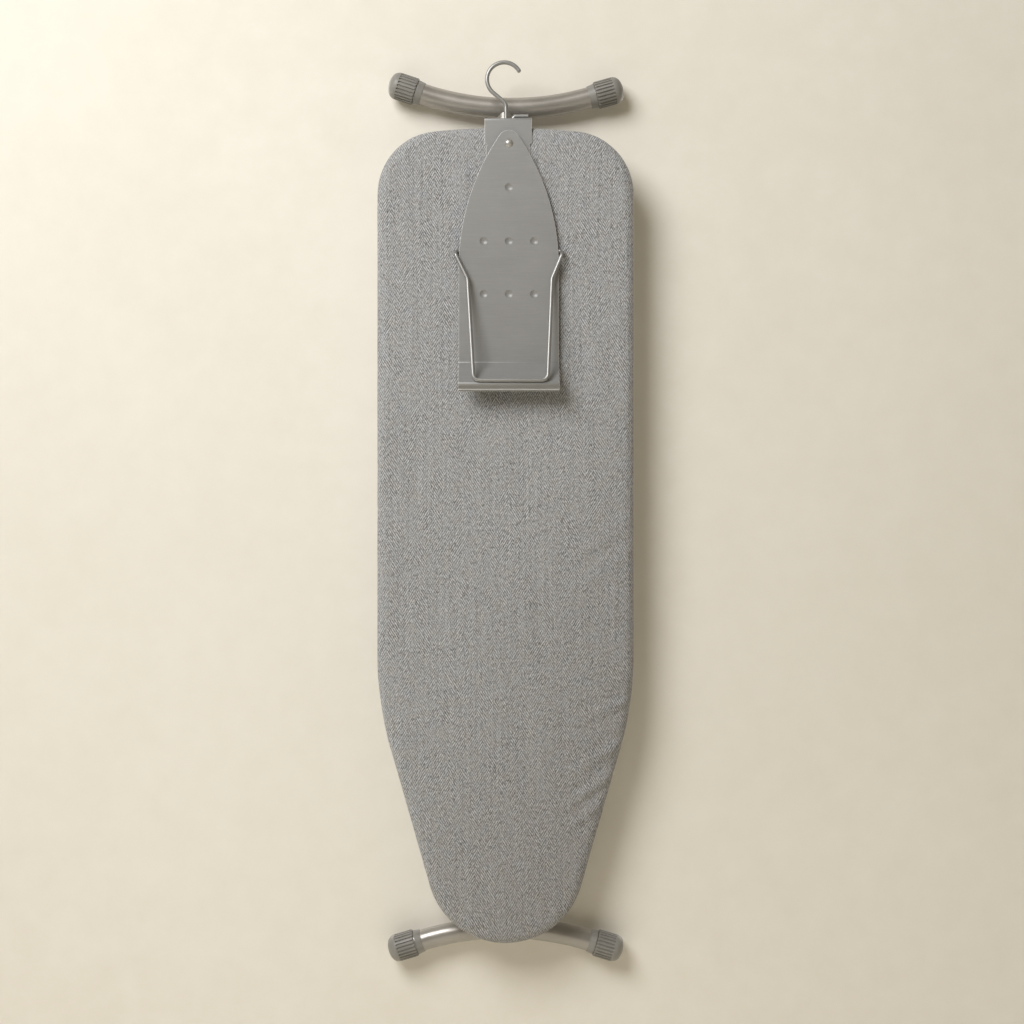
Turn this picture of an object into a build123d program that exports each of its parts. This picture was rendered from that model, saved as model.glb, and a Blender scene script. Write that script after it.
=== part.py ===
from build123d import *
from math import atan2, cos, degrees, radians, sin, sqrt, tan
import os

os.makedirs("parts", exist_ok=True)

# A folding ironing board that hangs from a hook on its square end, with a swinging iron rest.
# All sizes are millimetres. The board is drawn standing on its nose: x runs across it, y from the
# ironing face (low) to the underside (high) and z from the nose tip up to the square end. The
# underside of the deck is y = 0. Each finished part is moved so that the seat of the hook is the
# origin.

# The board's outline: a round nose, straight tapers, curved shoulders, parallel sides, round
# corners and a slightly crowned square end.
BOARD_LENGTH = 1220.0
HALF_WIDTH = 192.0
NOSE_RADIUS = 118.0
TAPER = 16.0  # degrees between a tapered edge and the long axis
SHOULDER_RADIUS = 510.0
CORNER_RADIUS = 95.0
CROWN_RADIUS = 1100.0
SHOULDER_X = HALF_WIDTH - SHOULDER_RADIUS
SHOULDER_Z = (
    NOSE_RADIUS * (1 - sin(radians(TAPER)))
    + (SHOULDER_X + (SHOULDER_RADIUS - NOSE_RADIUS) * cos(radians(TAPER))) / tan(radians(TAPER))
    + SHOULDER_RADIUS * sin(radians(TAPER))
)
CORNER_X = HALF_WIDTH - CORNER_RADIUS
CROWN_Z = BOARD_LENGTH - CROWN_RADIUS
CORNER_Z = CROWN_Z + sqrt((CROWN_RADIUS - CORNER_RADIUS) ** 2 - CORNER_X**2)
CORNER_TURN = degrees(atan2(CORNER_Z - CROWN_Z, CORNER_X))

# The board's layers, front to back.
FACE_Y = -12.0
CLOTH = 1.2
EDGE_ROUND = 10.0
PAD_FRONT_Y = -10.6
DECK_THICKNESS = 0.8
RIM_DEPTH = 15.0
RIM_FLANGE = 10.4
RIM_INSET = 1.6
HEM_Y = RIM_DEPTH + 0.4
HEM_WIDTH = 30.0
HEM_CORD = 3.5
SHEET = 1.2  # the rim, the cross channels and the straps

# The crosswise stiffeners under the deck: half widths, depth, and the heights they lie at.
CHANNEL_HALF_WIDTH = 10.0
CHANNEL_DEPTH = 13.0
CHANNEL_HEIGHTS = (150.0, 480.0, 1160.0)
STRAP_HALF_WIDTH = 12.0
STRAP_HEIGHTS = (620.0, 790.0, 960.0)
STIFFENER_INSET = RIM_INSET + RIM_FLANGE + 0.1

# The legs: two isosceles halves of a scissor, folded flat behind the deck. The hinge and the
# slider's axle lie nearer the deck than the legs do.
LINK_Y = 22.0
LEG_Y = 48.0
HINGE_Z = 235.8
LINK_REACH = 400.0  # along the board, from the legs' common pivot to the hinge or to the slider
FOOT_REACH = 623.8  # from the common pivot to the middle of a foot bar
PIVOT_Z = HINGE_Z + LINK_REACH
SLIDER_Z = PIVOT_Z + LINK_REACH
REAR_TUBE_RADIUS = 14.0
FRONT_TUBE_RADIUS = 11.0
FRONT_TUBE_X = 36.0
TUBE_WALL = 1.2
JOG_RADIUS = 45.0
REAR_END = 9.0  # the rear leg's tube runs this far past its hinge
FRONT_END = 8.0

# The feet: bars curved away from the board, with a collar and a ribbed cap on each end.
FOOT_RADIUS = 16.0
FOOT_BOW = 430.0
FOOT_TURN = 17.0  # degrees of arc each side of the middle, before the straight ends
REAR_TWIST = 1.2  # degrees that the rear foot is welded off square, its right end low
COLLAR_START = 1.0
COLLAR_LENGTH = 10.0
CAP_START = 12.2
CAP_LENGTH = 42.5
CAP_RADIUS = 20.5
CAP_BASE_RADIUS = 19.6
CAP_SOCKET = 32.0
DOME_RADIUS = 32.0
DOME_EDGE = 13.0
GROOVES = 24
GROOVE_RADIUS = 1.6
GROOVE_CENTRE = CAP_RADIUS - 0.5
GROOVE_LENGTH = 26.5

# Pins and axles.
PIN_RADIUS = 4.0
RUNNING = 0.05  # radial clearance of a pin in its bore

# The guide rod and the slider that the front leg hangs from.
ROD_RADIUS = 5.0
ROD_Y = 11.0
ROD_LOW_Z = 590.0
ROD_HIGH_Z = 1122.0
SLIDER_CLEARANCE = 0.3
SLIDER_HALF_WIDTH = 23.5
SLIDER_Y = (2.5, 30.0)
SLIDER_FOOT_Z = SLIDER_Z - 25.0
SLIDER_TOP_Z = SLIDER_Z + 25.0
GRIP_X = (62.0, 148.0)

# The lock lever, a plate that binds on the guide rod when its spring tilts it.
LOCK_X = -12.0
LOCK_Z = SLIDER_Z + 49.0
LOCK_THICKNESS = 3.0
LOCK_TILT = 5.0
LOCK_CLEARANCE = 0.5
LUG_TOP_Z = LOCK_Z + 20.0

# The sheet-steel hanger that hooks over the square end, and the wire hook in it.
HANGER_X = 4.0
HANGER_HALF_WIDTH = 35.0
HANGER_SHEET = 2.0
HANGER_FRONT_Y = FACE_Y - HANGER_SHEET - 0.2
HANGER_BACK_Y = 20.4
HANGER_TOP_Z = BOARD_LENGTH + 12.0
HANGER_DROP = 27.0  # from the rivet to the flanges' lower edge
HANGER_CORNER = 12.0
HANGER_BEND = 3.5
HANGER_STEP = 2.0  # the flanges are narrower by this much each side below the notches
NOTCH_DROP = 2.6
NOTCH_RADIUS = 3.2
WIRE_RADIUS = 3.15
GUARD_RADIUS = 3.0
HOOK_X = -2.0
HOOK_Y = 1.0
HOOK_Z = BOARD_LENGTH + 72.5
HOOK_RADIUS = 25.7
HOOK_START = 31.0  # degrees above the horizontal, where the hook's tip is
HOOK_END = 230.0
STEM_X = 0.8
TAIL_X = 11.4
TAIL_END_X = 34.0
TAIL_BEND = 4.5
STEM_BEND = 14.0
LOOP_DROP = 2.6

# The iron rest: a pointed plate on one rivet, with dimples, a folded heel stop and a wire guard.
# Its heights are measured down from the rivet.
RIVET_Z = BOARD_LENGTH - 26.9
REST_X = HANGER_X + 1.0
REST_HEAD_RADIUS = 6.4
REST_HEAD_HEIGHT = 3.2
REST_GAP = 4.7
REST_SHEET = 1.5
REST_BACK_Y = HANGER_FRONT_Y - REST_GAP
REST_FRONT_Y = REST_BACK_Y - REST_SHEET
REST_HALF_WIDTH = 74.4
REST_TOP = 19.3
REST_SIDE_TOP = -185.0
REST_SIDE_RADIUS = 350.0
REST_BEND = -326.3
REST_CREST = -360.0
REST_FOOT = -369.0
REST_DEPTH = 36.0
REST_RETURN = 10.0  # how far the fold below the crest comes back
HEM = 3.5
DIMPLE_RADIUS = 6.0
DIMPLE_DEPTH = 2.0
DIMPLE_SPACING = 37.4
DIMPLE_ROWS = {-65.8: (0,), -145.7: (-1, 0, 1), -224.3: (-1, 0, 1)}

# The guard's line on each side: across from the rest's middle, forward of its face, and down from
# the rivet. It leans a little to the right at the foot.
GUARD_TOP = (79.0, 4.0, -166.0)
GUARD_KNEE = (62.5, 9.0, -203.0)
GUARD_FOOT = (54.5, REST_DEPTH - 0.5, -354.5)
GUARD_WELD_X = 44.0
GUARD_WELD = -159.0
GUARD_LEAN = 2.6

ORIGIN = Vector(HOOK_X, HOOK_Y, HOOK_Z + HOOK_RADIUS - WIRE_RADIUS)


def write(node, *solids):
    """Writes one node, moved to the origin at the hook's seat."""
    shape = solids[0] if len(solids) == 1 else Compound(children=list(solids))
    export_step(Pos(-ORIGIN) * shape, f"parts/{node}.step")


def block(x, y, z):
    """A box given by its limits on each axis."""
    centre = [(low + high) / 2 for low, high in (x, y, z)]
    return Pos(*centre) * Box(*[high - low for low, high in (x, y, z)])


def bar(start, end, radius):
    """A round bar between two points."""
    run = Vector(end) - Vector(start)
    ends = (Align.CENTER, Align.CENTER, Align.MIN)
    return Plane(origin=start, z_dir=run) * Cylinder(radius, run.length, align=ends)


def along(path, radius):
    """A round bar bent along a path."""
    return sweep(Plane(origin=path @ 0, z_dir=path % 0) * Circle(radius), path=path)


def slab(face, y_front, y_back):
    """A face drawn in x and z, made solid from y_front to y_back."""
    return extrude(Plane.XZ.offset(-y_front) * face, y_back - y_front, dir=(0, 1, 0))


def board_face(inset):
    """The board's outline as a face in x and z, with every edge moved inward by inset."""
    nose = CenterArc((0, NOSE_RADIUS), NOSE_RADIUS - inset, TAPER - 180, 180 - 2 * TAPER)
    shoulder = CenterArc((SHOULDER_X, SHOULDER_Z), SHOULDER_RADIUS - inset, -TAPER, TAPER)
    corner = CenterArc((CORNER_X, CORNER_Z), CORNER_RADIUS - inset, 0, CORNER_TURN)
    crown = CenterArc((0, CROWN_Z), CROWN_RADIUS - inset, CORNER_TURN, 180 - 2 * CORNER_TURN)
    right = Curve() + [Line(nose @ 1, shoulder @ 0), shoulder, Line(shoulder @ 1, corner @ 0), corner]
    return make_face([nose, crown, *right.edges(), *mirror(right, Plane.YZ).edges()])


def board_ring(outer, inner, y_front, y_back):
    """A flat ring that follows the board's outline, between two insets."""
    return slab(board_face(outer), y_front, y_back) - slab(board_face(inner), y_front - 1, y_back + 1)


# ---------------------------------------------------------------- deck, rim and soft layers


def soft_slab(inset, y_front, y_back, radius):
    """The board's outline made solid, with its front edge rounded."""
    solid = slab(board_face(inset), y_front, y_back)
    return fillet(solid.edges().group_by(Axis.Y)[0], radius)


def rim():
    """An inward-facing channel rolled round the deck's edge."""
    hollow = slab(board_face(RIM_INSET + SHEET), SHEET, RIM_DEPTH - SHEET)
    return board_ring(RIM_INSET, RIM_INSET + RIM_FLANGE, 0, RIM_DEPTH) - hollow


def cover():
    """The cloth over the face and round the edge."""
    outside = soft_slab(0, FACE_Y, HEM_Y, EDGE_ROUND)
    return outside - soft_slab(CLOTH, FACE_Y + CLOTH, HEM_Y + 1, EDGE_ROUND - CLOTH)


def cross_channel(z):
    """A deep channel across the underside, open towards the deck."""
    span = (-HALF_WIDTH, HALF_WIDTH)
    inner = CHANNEL_HALF_WIDTH - SHEET
    outside = block(span, (0, CHANNEL_DEPTH), (z - CHANNEL_HALF_WIDTH, z + CHANNEL_HALF_WIDTH))
    hollow = block(span, (0, CHANNEL_DEPTH - SHEET), (z - inner, z + inner))
    return (outside - hollow) & slab(board_face(STIFFENER_INSET), 0, CHANNEL_DEPTH)


def cross_strap(z):
    """A flat strap across the underside, thin enough for the slider to pass over."""
    strap = block((-HALF_WIDTH, HALF_WIDTH), (0, SHEET), (z - STRAP_HALF_WIDTH, z + STRAP_HALF_WIDTH))
    return strap & slab(board_face(STIFFENER_INSET), 0, SHEET)


def rivet_head(x, y, z, radius=3.5, height=1.8):
    """A low domed head that stands out towards the back from a face at y."""
    ball = (radius**2 + height**2) / (2 * height)
    dome = Pos(x, y + height - ball, z) * Sphere(ball)
    return dome & block((x - ball, x + ball), (y, y + ball), (z - ball, z + ball))


write("deck_panel", slab(board_face(RIM_INSET + 0.4), -DECK_THICKNESS, 0))
write("board_rim", rim())
write("pad", soft_slab(RIM_INSET, PAD_FRONT_Y, -DECK_THICKNESS - 0.1, EDGE_ROUND - 2))
write("cover", cover())
write("cover_hem", board_ring(0, HEM_WIDTH, HEM_Y, HEM_Y + CLOTH))
write("hem_cord", board_ring(HEM_WIDTH + 0.1, HEM_WIDTH + HEM_CORD, RIM_DEPTH - 1, RIM_DEPTH + 2.5))
write("cross_channels", *[cross_channel(z) for z in CHANNEL_HEIGHTS])
write("cross_straps", *[cross_strap(z) for z in STRAP_HEIGHTS])

# ---------------------------------------------------------------- hinge under the nose half

EAR_X = 43.2
EAR_SHEET = 2.5
EAR_ROUND = 10.0
EAR_HALF_WIDTH = 17.0
BRACKET_FOOT = 26.0
BRACKET_CORNER = 5.0
BRACKET_RIVET_X = EAR_X + 17.0
BRACKET_RIVETS = ((BRACKET_RIVET_X, HINGE_Z - 10), (BRACKET_RIVET_X, HINGE_Z + 10))
PIN_HEAD_RADIUS = 7.0
PIN_HEAD_HEIGHT = 2.5


def hinge_bracket():
    """The right-hand ear: a sheet-steel angle with the hinge pin's hole."""
    half = (HINGE_Z - EAR_HALF_WIDTH, HINGE_Z + EAR_HALF_WIDTH)
    foot = block((EAR_X, EAR_X + BRACKET_FOOT), (0, EAR_SHEET), half)
    ear = block((EAR_X, EAR_X + EAR_SHEET), (0, LINK_Y), half)
    ear = fillet(ear.edges().filter_by(Axis.X).group_by(Axis.Y)[-1], EAR_ROUND)
    tip = bar((EAR_X, LINK_Y, HINGE_Z), (EAR_X + EAR_SHEET, LINK_Y, HINGE_Z), EAR_ROUND)
    corners = (foot.edges().filter_by(Axis.Y)).group_by(Axis.X)[-1]
    hole = bar((0, LINK_Y, HINGE_Z), (2 * EAR_X, LINK_Y, HINGE_Z), PIN_RADIUS)
    return fillet(corners, BRACKET_CORNER) + ear + tip - hole


def hinge_pin():
    """The pin through both ears, with a flat head on each end."""
    under = EAR_X + EAR_SHEET + 0.1
    over = under + PIN_HEAD_HEIGHT
    pin = bar((-over + 1, LINK_Y, HINGE_Z), (over - 1, LINK_Y, HINGE_Z), PIN_RADIUS)
    heads = [
        bar((side * under, LINK_Y, HINGE_Z), (side * over, LINK_Y, HINGE_Z), PIN_HEAD_RADIUS)
        for side in (-1, 1)
    ]
    return pin + heads


RIGHT_BRACKET = hinge_bracket()
write("hinge_bracket_right", RIGHT_BRACKET)
write("hinge_bracket_left", mirror(RIGHT_BRACKET, Plane.YZ))
write("hinge_rivets", *[rivet_head(s * x, EAR_SHEET, z) for s in (-1, 1) for x, z in BRACKET_RIVETS])
write("hinge_pin", hinge_pin())

# ---------------------------------------------------------------- guide rod

TAB_HALF_WIDTH = 14.0
TAB_FOOT = 22.0
TAB_HEIGHT = 20.0
TAB_ROUND = 8.0
ROD_END = 8.0  # how far the rod stands past each bracket's inner face
RING_RADIUS = 7.5
RING_THICKNESS = 1.2


def rod_bracket(z, away):
    """An angle that holds one end of the rod. Its foot points away from the slider."""
    tab_z = sorted((z, z + away * EAR_SHEET))
    foot_z = sorted((z, z + away * TAB_FOOT))
    side = (-TAB_HALF_WIDTH, TAB_HALF_WIDTH)
    tab = block(side, (0, TAB_HEIGHT), tab_z)
    tab = fillet(tab.edges().filter_by(Axis.Z).group_by(Axis.Y)[-1], TAB_ROUND)
    hole = bar((0, ROD_Y, z - 5), (0, ROD_Y, z + 5), ROD_RADIUS + 0.02)
    return tab + block(side, (0, EAR_SHEET), foot_z) - hole


def guide_rod():
    """The rod, with chamfered ends."""
    rod = bar((0, ROD_Y, ROD_LOW_Z - ROD_END), (0, ROD_Y, ROD_HIGH_Z + ROD_END), ROD_RADIUS)
    return chamfer(rod.edges().filter_by(GeomType.CIRCLE), 1)


def rod_ring(z):
    """A retaining ring on the rod, outside a bracket."""
    ends = [(0, ROD_Y, z), (0, ROD_Y, z + RING_THICKNESS)]
    return bar(*ends, RING_RADIUS) - bar(*ends, ROD_RADIUS)


write("guide_rod", guide_rod())
write("rod_bracket_lower", rod_bracket(ROD_LOW_Z, -1))
write("rod_bracket_upper", rod_bracket(ROD_HIGH_Z, 1))
ROD_RIVETS = [(x, z) for x in (-8, 8) for z in (ROD_LOW_Z - 14, ROD_HIGH_Z + 14)]
write("rod_rivets", *[rivet_head(x, EAR_SHEET, z, 3.0) for x, z in ROD_RIVETS])
RING_HEIGHTS = (ROD_LOW_Z - EAR_SHEET - 0.1 - RING_THICKNESS, ROD_HIGH_Z + EAR_SHEET + 0.1)
write("rod_rings", *[rod_ring(z) for z in RING_HEIGHTS])

# ---------------------------------------------------------------- hanger and hook


def hanger():
    """Sheet steel folded over the square end: notched front flange, web and back flange."""
    side = (HANGER_X - HANGER_HALF_WIDTH, HANGER_X + HANGER_HALF_WIDTH)
    low_z = RIVET_Z - HANGER_DROP
    outside = block(side, (HANGER_FRONT_Y, HANGER_BACK_Y), (low_z, HANGER_TOP_Z))
    outside = fillet(outside.edges().filter_by(Axis.X).group_by(Axis.Z)[-1], HANGER_BEND)
    inside_y = (HANGER_FRONT_Y + HANGER_SHEET, HANGER_BACK_Y - HANGER_SHEET)
    inside = block((-100, 100), inside_y, (low_z - 5, HANGER_TOP_Z - HANGER_SHEET))
    inside = fillet(inside.edges().filter_by(Axis.X).group_by(Axis.Z)[-1], HANGER_BEND - HANGER_SHEET)
    shape = outside - inside
    upright = shape.edges().filter_by(Axis.Y).group_by(Axis.Z)[0]
    shape = chamfer(upright, HANGER_CORNER)
    notch_z = RIVET_Z - NOTCH_DROP
    depth = (HANGER_FRONT_Y - 1, HANGER_BACK_Y + 1)
    notches = [bar((x, depth[0], notch_z), (x, depth[1], notch_z), NOTCH_RADIUS) for x in side]
    steps = [
        block((x - HANGER_STEP, x + HANGER_STEP), depth, (low_z - 1, notch_z)) for x in side
    ]
    front = HANGER_FRONT_Y - 1
    rivet_hole = bar((REST_X, front, RIVET_Z), (REST_X, front + 5, RIVET_Z), PIN_RADIUS)
    wire_holes = [
        bar((x, HOOK_Y, HANGER_TOP_Z - 5), (x, HOOK_Y, HANGER_TOP_Z + 5), WIRE_RADIUS + 0.05)
        for x in (STEM_X, TAIL_X)
    ]
    return shape - notches - steps - rivet_hole - wire_holes


def hook_path():
    """The hook's centreline: tip, bow, sway to the stem, and a tail turned back up and over."""
    plane = Plane.XZ.offset(-HOOK_Y)
    bow = CenterArc((HOOK_X, HOOK_Z), HOOK_RADIUS, HOOK_START, HOOK_END - HOOK_START)
    heading = bow % 1
    knee = bow @ 1 + heading * ((STEM_X - (bow @ 1).X) / heading.X)
    loop_radius = (TAIL_X - STEM_X) / 2
    loop_z = HANGER_TOP_Z - LOOP_DROP
    tail_z = HANGER_TOP_Z + WIRE_RADIUS + 2.2
    stem = FilletPolyline(bow @ 1, knee, (STEM_X, loop_z), radius=STEM_BEND)
    loop = CenterArc(((STEM_X + TAIL_X) / 2, loop_z), loop_radius, 180, 180)
    tail = FilletPolyline((TAIL_X, loop_z), (TAIL_X, tail_z), (TAIL_END_X, tail_z), radius=TAIL_BEND)
    edges = [edge for part in (bow, stem, loop, tail) for edge in part.edges()]
    return Wire([plane.from_local_coords(edge) for edge in edges])


def hook():
    """The hook's wire, with its tip rounded."""
    path = hook_path()
    return along(path, WIRE_RADIUS) + Pos(path @ 0) * Sphere(WIRE_RADIUS)


def rest_rivet():
    """The domed rivet that the iron rest swings on."""
    ball = (REST_HEAD_RADIUS**2 + REST_HEAD_HEIGHT**2) / (2 * REST_HEAD_HEIGHT)
    front = REST_FRONT_Y - 0.15
    dome = Pos(REST_X, front - REST_HEAD_HEIGHT + ball, RIVET_Z) * Sphere(ball)
    keep = [(REST_X - ball, REST_X + ball), (front - ball, front), (RIVET_Z - ball, RIVET_Z + ball)]
    shank = bar((REST_X, front, RIVET_Z), (REST_X, HANGER_FRONT_Y + HANGER_SHEET, RIVET_Z), PIN_RADIUS)
    return (dome & block(*keep)) + shank


def rest_washer():
    """The nylon washer between the rest and the hanger."""
    start, end = (REST_X, REST_BACK_Y + 0.1, RIVET_Z), (REST_X, HANGER_FRONT_Y, RIVET_Z)
    return bar(start, end, 9) - bar(start, end, PIN_RADIUS)


SCREW_XZ = [(HANGER_X + side * 20, RIVET_Z + 6) for side in (-1, 1)]
write("hanger_bracket", hanger())
write("hanger_rivets", *[rivet_head(x, HANGER_BACK_Y, z, 4.0, 2.0) for x, z in SCREW_XZ])
write("hook_wire", hook())
write("rest_rivet", rest_rivet())
write("rest_washer", rest_washer())

# ---------------------------------------------------------------- iron rest


def rest_face():
    """The plate's outline down to the bend: a small round point, two long arcs, straight sides."""
    centre_x = REST_HALF_WIDTH - REST_SIDE_RADIUS
    drop = REST_TOP - REST_SIDE_TOP
    point = (centre_x**2 + drop**2 - REST_SIDE_RADIUS**2) / (2 * (drop - REST_SIDE_RADIUS))
    turn = degrees(atan2(drop - point, -centre_x))
    flank = CenterArc((centre_x, REST_SIDE_TOP), REST_SIDE_RADIUS, 0, turn)
    tip = CenterArc((0, REST_TOP - point), point, turn, 180 - 2 * turn)
    side = Line((REST_HALF_WIDTH, REST_BEND), flank @ 0)
    right = Curve() + [side, flank]
    base = Line((-REST_HALF_WIDTH, REST_BEND), (REST_HALF_WIDTH, REST_BEND))
    return Pos(REST_X, RIVET_Z) * make_face([tip, base, *right.edges(), *mirror(right, Plane.YZ).edges()])


def heel_stop():
    """The sheet below the bend: a ramp forward, a fold back and a hem."""
    middle_y = REST_FRONT_Y + REST_SHEET / 2
    profile = Plane(origin=(REST_X, middle_y, RIVET_Z + REST_BEND + 10), z_dir=(0, 0, -1))
    path = FilletPolyline(
        (REST_X, middle_y, RIVET_Z + REST_BEND + 10),
        (REST_X, middle_y, RIVET_Z + REST_BEND),
        (REST_X, middle_y - REST_DEPTH, RIVET_Z + REST_CREST),
        (REST_X, middle_y - REST_DEPTH + REST_RETURN, RIVET_Z + REST_FOOT),
        radius=3,
    )
    sheet = sweep(profile * Rectangle(2 * REST_HALF_WIDTH, REST_SHEET), path=path)
    fold_end = path @ 1
    back = path % 1 * -1
    hem_profile = Plane(origin=fold_end, x_dir=(1, 0, 0), z_dir=back)
    hem = extrude(hem_profile * Pos(0, -REST_SHEET) * Rectangle(2 * REST_HALF_WIDTH, REST_SHEET), HEM)
    return sheet + hem


def rest_plate():
    """The iron rest's sheet, with its dimples pressed in from the front."""
    plate = slab(rest_face(), REST_FRONT_Y, REST_BACK_Y) + heel_stop()
    ball = (DIMPLE_RADIUS**2 + DIMPLE_DEPTH**2) / (2 * DIMPLE_DEPTH)
    centres = [
        (REST_X + column * DIMPLE_SPACING, REST_FRONT_Y + DIMPLE_DEPTH - ball, RIVET_Z + row)
        for row, columns in DIMPLE_ROWS.items()
        for column in columns
    ]
    behind = block((-100, 110), (REST_BACK_Y - 0.5, REST_BACK_Y + 5), (RIVET_Z - 300, RIVET_Z))
    bumps = [Pos(*centre) * Sphere(ball + REST_SHEET) & behind for centre in centres]
    hollows = [Pos(*centre) * Sphere(ball) for centre in centres]
    hole_start = (REST_X, REST_FRONT_Y - 1, RIVET_Z)
    hole = bar(hole_start, (REST_X, REST_BACK_Y + 1, RIVET_Z), PIN_RADIUS + RUNNING)
    return plate + bumps - hollows - hole


def guard():
    """The wire guard: welded behind the plate, out round its edges and down to the heel stop."""
    behind = REST_BACK_Y + GUARD_RADIUS + 0.05
    turns = [(GUARD_WELD_X, behind, GUARD_WELD), (GUARD_TOP[0], behind, GUARD_WELD - 1)]
    turns += [(x, REST_FRONT_Y - forward, z) for x, forward, z in (GUARD_TOP, GUARD_KNEE, GUARD_FOOT)]
    shares = (0, 0, 0, 0.5, 1)
    lean = [share * GUARD_LEAN for share in shares]
    points = [(REST_X - x + shift, y, RIVET_Z + z) for (x, y, z), shift in zip(turns, lean)]
    points += [(REST_X + x + shift, y, RIVET_Z + z) for (x, y, z), shift in zip(turns[::-1], lean[::-1])]
    radii = (5, 5, 14, 9, 9, 14, 5, 5)
    return along(FilletPolyline(*points, radius=radii), GUARD_RADIUS)


write("rest_plate", rest_plate())
write("rest_guard", guard())

# ---------------------------------------------------------------- feet


def foot_end(foot, side):
    """Where a foot bar's arc ends on one side, and the way its straight end points."""
    middle_z, outward, twist = FEET[foot]
    turn = radians(FOOT_TURN)
    end = Vector(side * FOOT_BOW * sin(turn), 0, outward * FOOT_BOW * (1 - cos(turn)))
    heading = Vector(side * cos(turn), 0, outward * sin(turn))
    return Vector(0, LEG_Y, middle_z) + end.rotate(Axis.Y, twist), heading.rotate(Axis.Y, twist)


def foot_path(foot):
    """A foot bar's centreline: an arc with straight ends, bent away from the board."""
    left, left_heading = foot_end(foot, -1)
    right, right_heading = foot_end(foot, 1)
    arc = ThreePointArc(left, (0, LEG_Y, FEET[foot][0]), right)
    run = CAP_START + CAP_SOCKET - 1
    return Wire([Line(left + left_heading * run, left), arc, Line(right, right + right_heading * run)])


def foot_bar(foot):
    """A foot's bent tube."""
    path = foot_path(foot)
    return along(path, FOOT_RADIUS) - along(path, FOOT_RADIUS - TUBE_WALL)


def collar():
    """The tapered ring inboard of a cap, along +z."""
    low, high = COLLAR_START, COLLAR_START + COLLAR_LENGTH
    bore = FOOT_RADIUS + 0.02
    outline = Polyline((bore, low), (16.8, low), (18.4, high), (bore, high), (bore, low))
    return revolve(Plane.XZ * make_face(outline), Axis.Z)


def cap():
    """A push-on foot: a grooved cup with a domed end, along +z."""
    low, high = CAP_START, CAP_START + CAP_LENGTH
    bore = FOOT_RADIUS + 0.02
    edge_z = high - DOME_RADIUS + sqrt(DOME_RADIUS**2 - CAP_RADIUS**2)
    dome = RadiusArc((0, high), (CAP_RADIUS, edge_z), DOME_RADIUS)
    wall = Polyline(
        (0, high),
        (0, low + CAP_SOCKET),
        (bore, low + CAP_SOCKET),
        (bore, low),
        (CAP_BASE_RADIUS, low),
        (CAP_RADIUS, low + 1.5),
        (CAP_RADIUS, edge_z),
    )
    body = revolve(Plane.XZ * make_face([*dome.edges(), *wall.edges()]), Axis.Z)
    circles = body.edges().filter_by(GeomType.CIRCLE)
    body = fillet(circles.filter_by_position(Axis.Z, edge_z - 0.01, edge_z + 0.01), DOME_EDGE)
    groove_end = (GROOVE_CENTRE, 0, low + GROOVE_LENGTH)
    groove = bar((GROOVE_CENTRE, 0, low - 1), groove_end, GROOVE_RADIUS)
    groove += Pos(*groove_end) * Sphere(GROOVE_RADIUS)
    step = 360 / GROOVES
    return body - [Rot(0, 0, (turn + 0.5) * step) * groove for turn in range(GROOVES)]


CAP = cap()
COLLAR = collar()
FEET = {"rear": (PIVOT_Z + FOOT_REACH, 1, REAR_TWIST), "front": (PIVOT_Z - FOOT_REACH, -1, 0.0)}
for foot in FEET:
    write(f"{foot}_foot_bar", foot_bar(foot))
    for side, way in (("left", -1), ("right", 1)):
        end, heading = foot_end(foot, way)
        plane = Plane(origin=end, x_dir=(0, 1, 0), z_dir=heading)
        write(f"{foot}_collar_{side}", plane * COLLAR)
        write(f"{foot}_cap_{side}", plane * CAP)

# ---------------------------------------------------------------- rear leg


def foot_core(foot):
    """The space that a foot bar fills, which the leg tubes are coped to fit."""
    return along(foot_path(foot), FOOT_RADIUS + 0.02)


def leg_points(x, link_z, foot_z, past):
    """A leg's centreline: from just past its link end, jogged back and straight to its foot."""
    way = 1 if foot_z > link_z else -1
    return [
        (x, LINK_Y, link_z - way * past),
        (x, LINK_Y, link_z + way * 26),
        (x, LEG_Y, link_z + way * 74),
        (x, LEG_Y, foot_z),
    ]


def leg_tube(points, radius):
    """A bent tube, and the solid that it would be if it weren't hollow."""
    path = FilletPolyline(*points, radius=JOG_RADIUS)
    outside = along(path, radius)
    return outside - along(path, radius - TUBE_WALL), outside


REAR_POINTS = leg_points(0, HINGE_Z, FEET["rear"][0], REAR_END)
REAR_TUBE = leg_tube(REAR_POINTS, REAR_TUBE_RADIUS)[0]
HINGE_TUBE_RADIUS = 8.0
HINGE_TUBE_HALF = 42.0
BUSH_LENGTH = 14.0
PIVOT_BUSH_RADIUS = 6.5
PLUG_HEIGHT = 2.0
PLUG_ROUND = 1.5
HINGE_AXIS = [(-HINGE_TUBE_HALF, LINK_Y, HINGE_Z), (HINGE_TUBE_HALF, LINK_Y, HINGE_Z)]
PIVOT_BUSH_HALF = REAR_TUBE_RADIUS + 0.2
PIVOT_AXIS = [(-PIVOT_BUSH_HALF, LEG_Y, PIVOT_Z), (PIVOT_BUSH_HALF, LEG_Y, PIVOT_Z)]


def bush(x_low, x_high, outer):
    """A plain bush on the hinge pin's axis."""
    ends = [(x, LINK_Y, HINGE_Z) for x in (x_low, x_high)]
    return bar(*ends, outer) - bar(*ends, PIN_RADIUS + RUNNING)


def tube_plug(x, z, way, radius):
    """A low cap that closes a leg tube's link end. way points out of the tube."""
    flat = bar((x, LINK_Y, z), (x, LINK_Y, z + way * PLUG_HEIGHT), radius)
    return fillet(flat.edges().group_by(Axis.Z)[-1 if way > 0 else 0], PLUG_ROUND)


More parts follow.
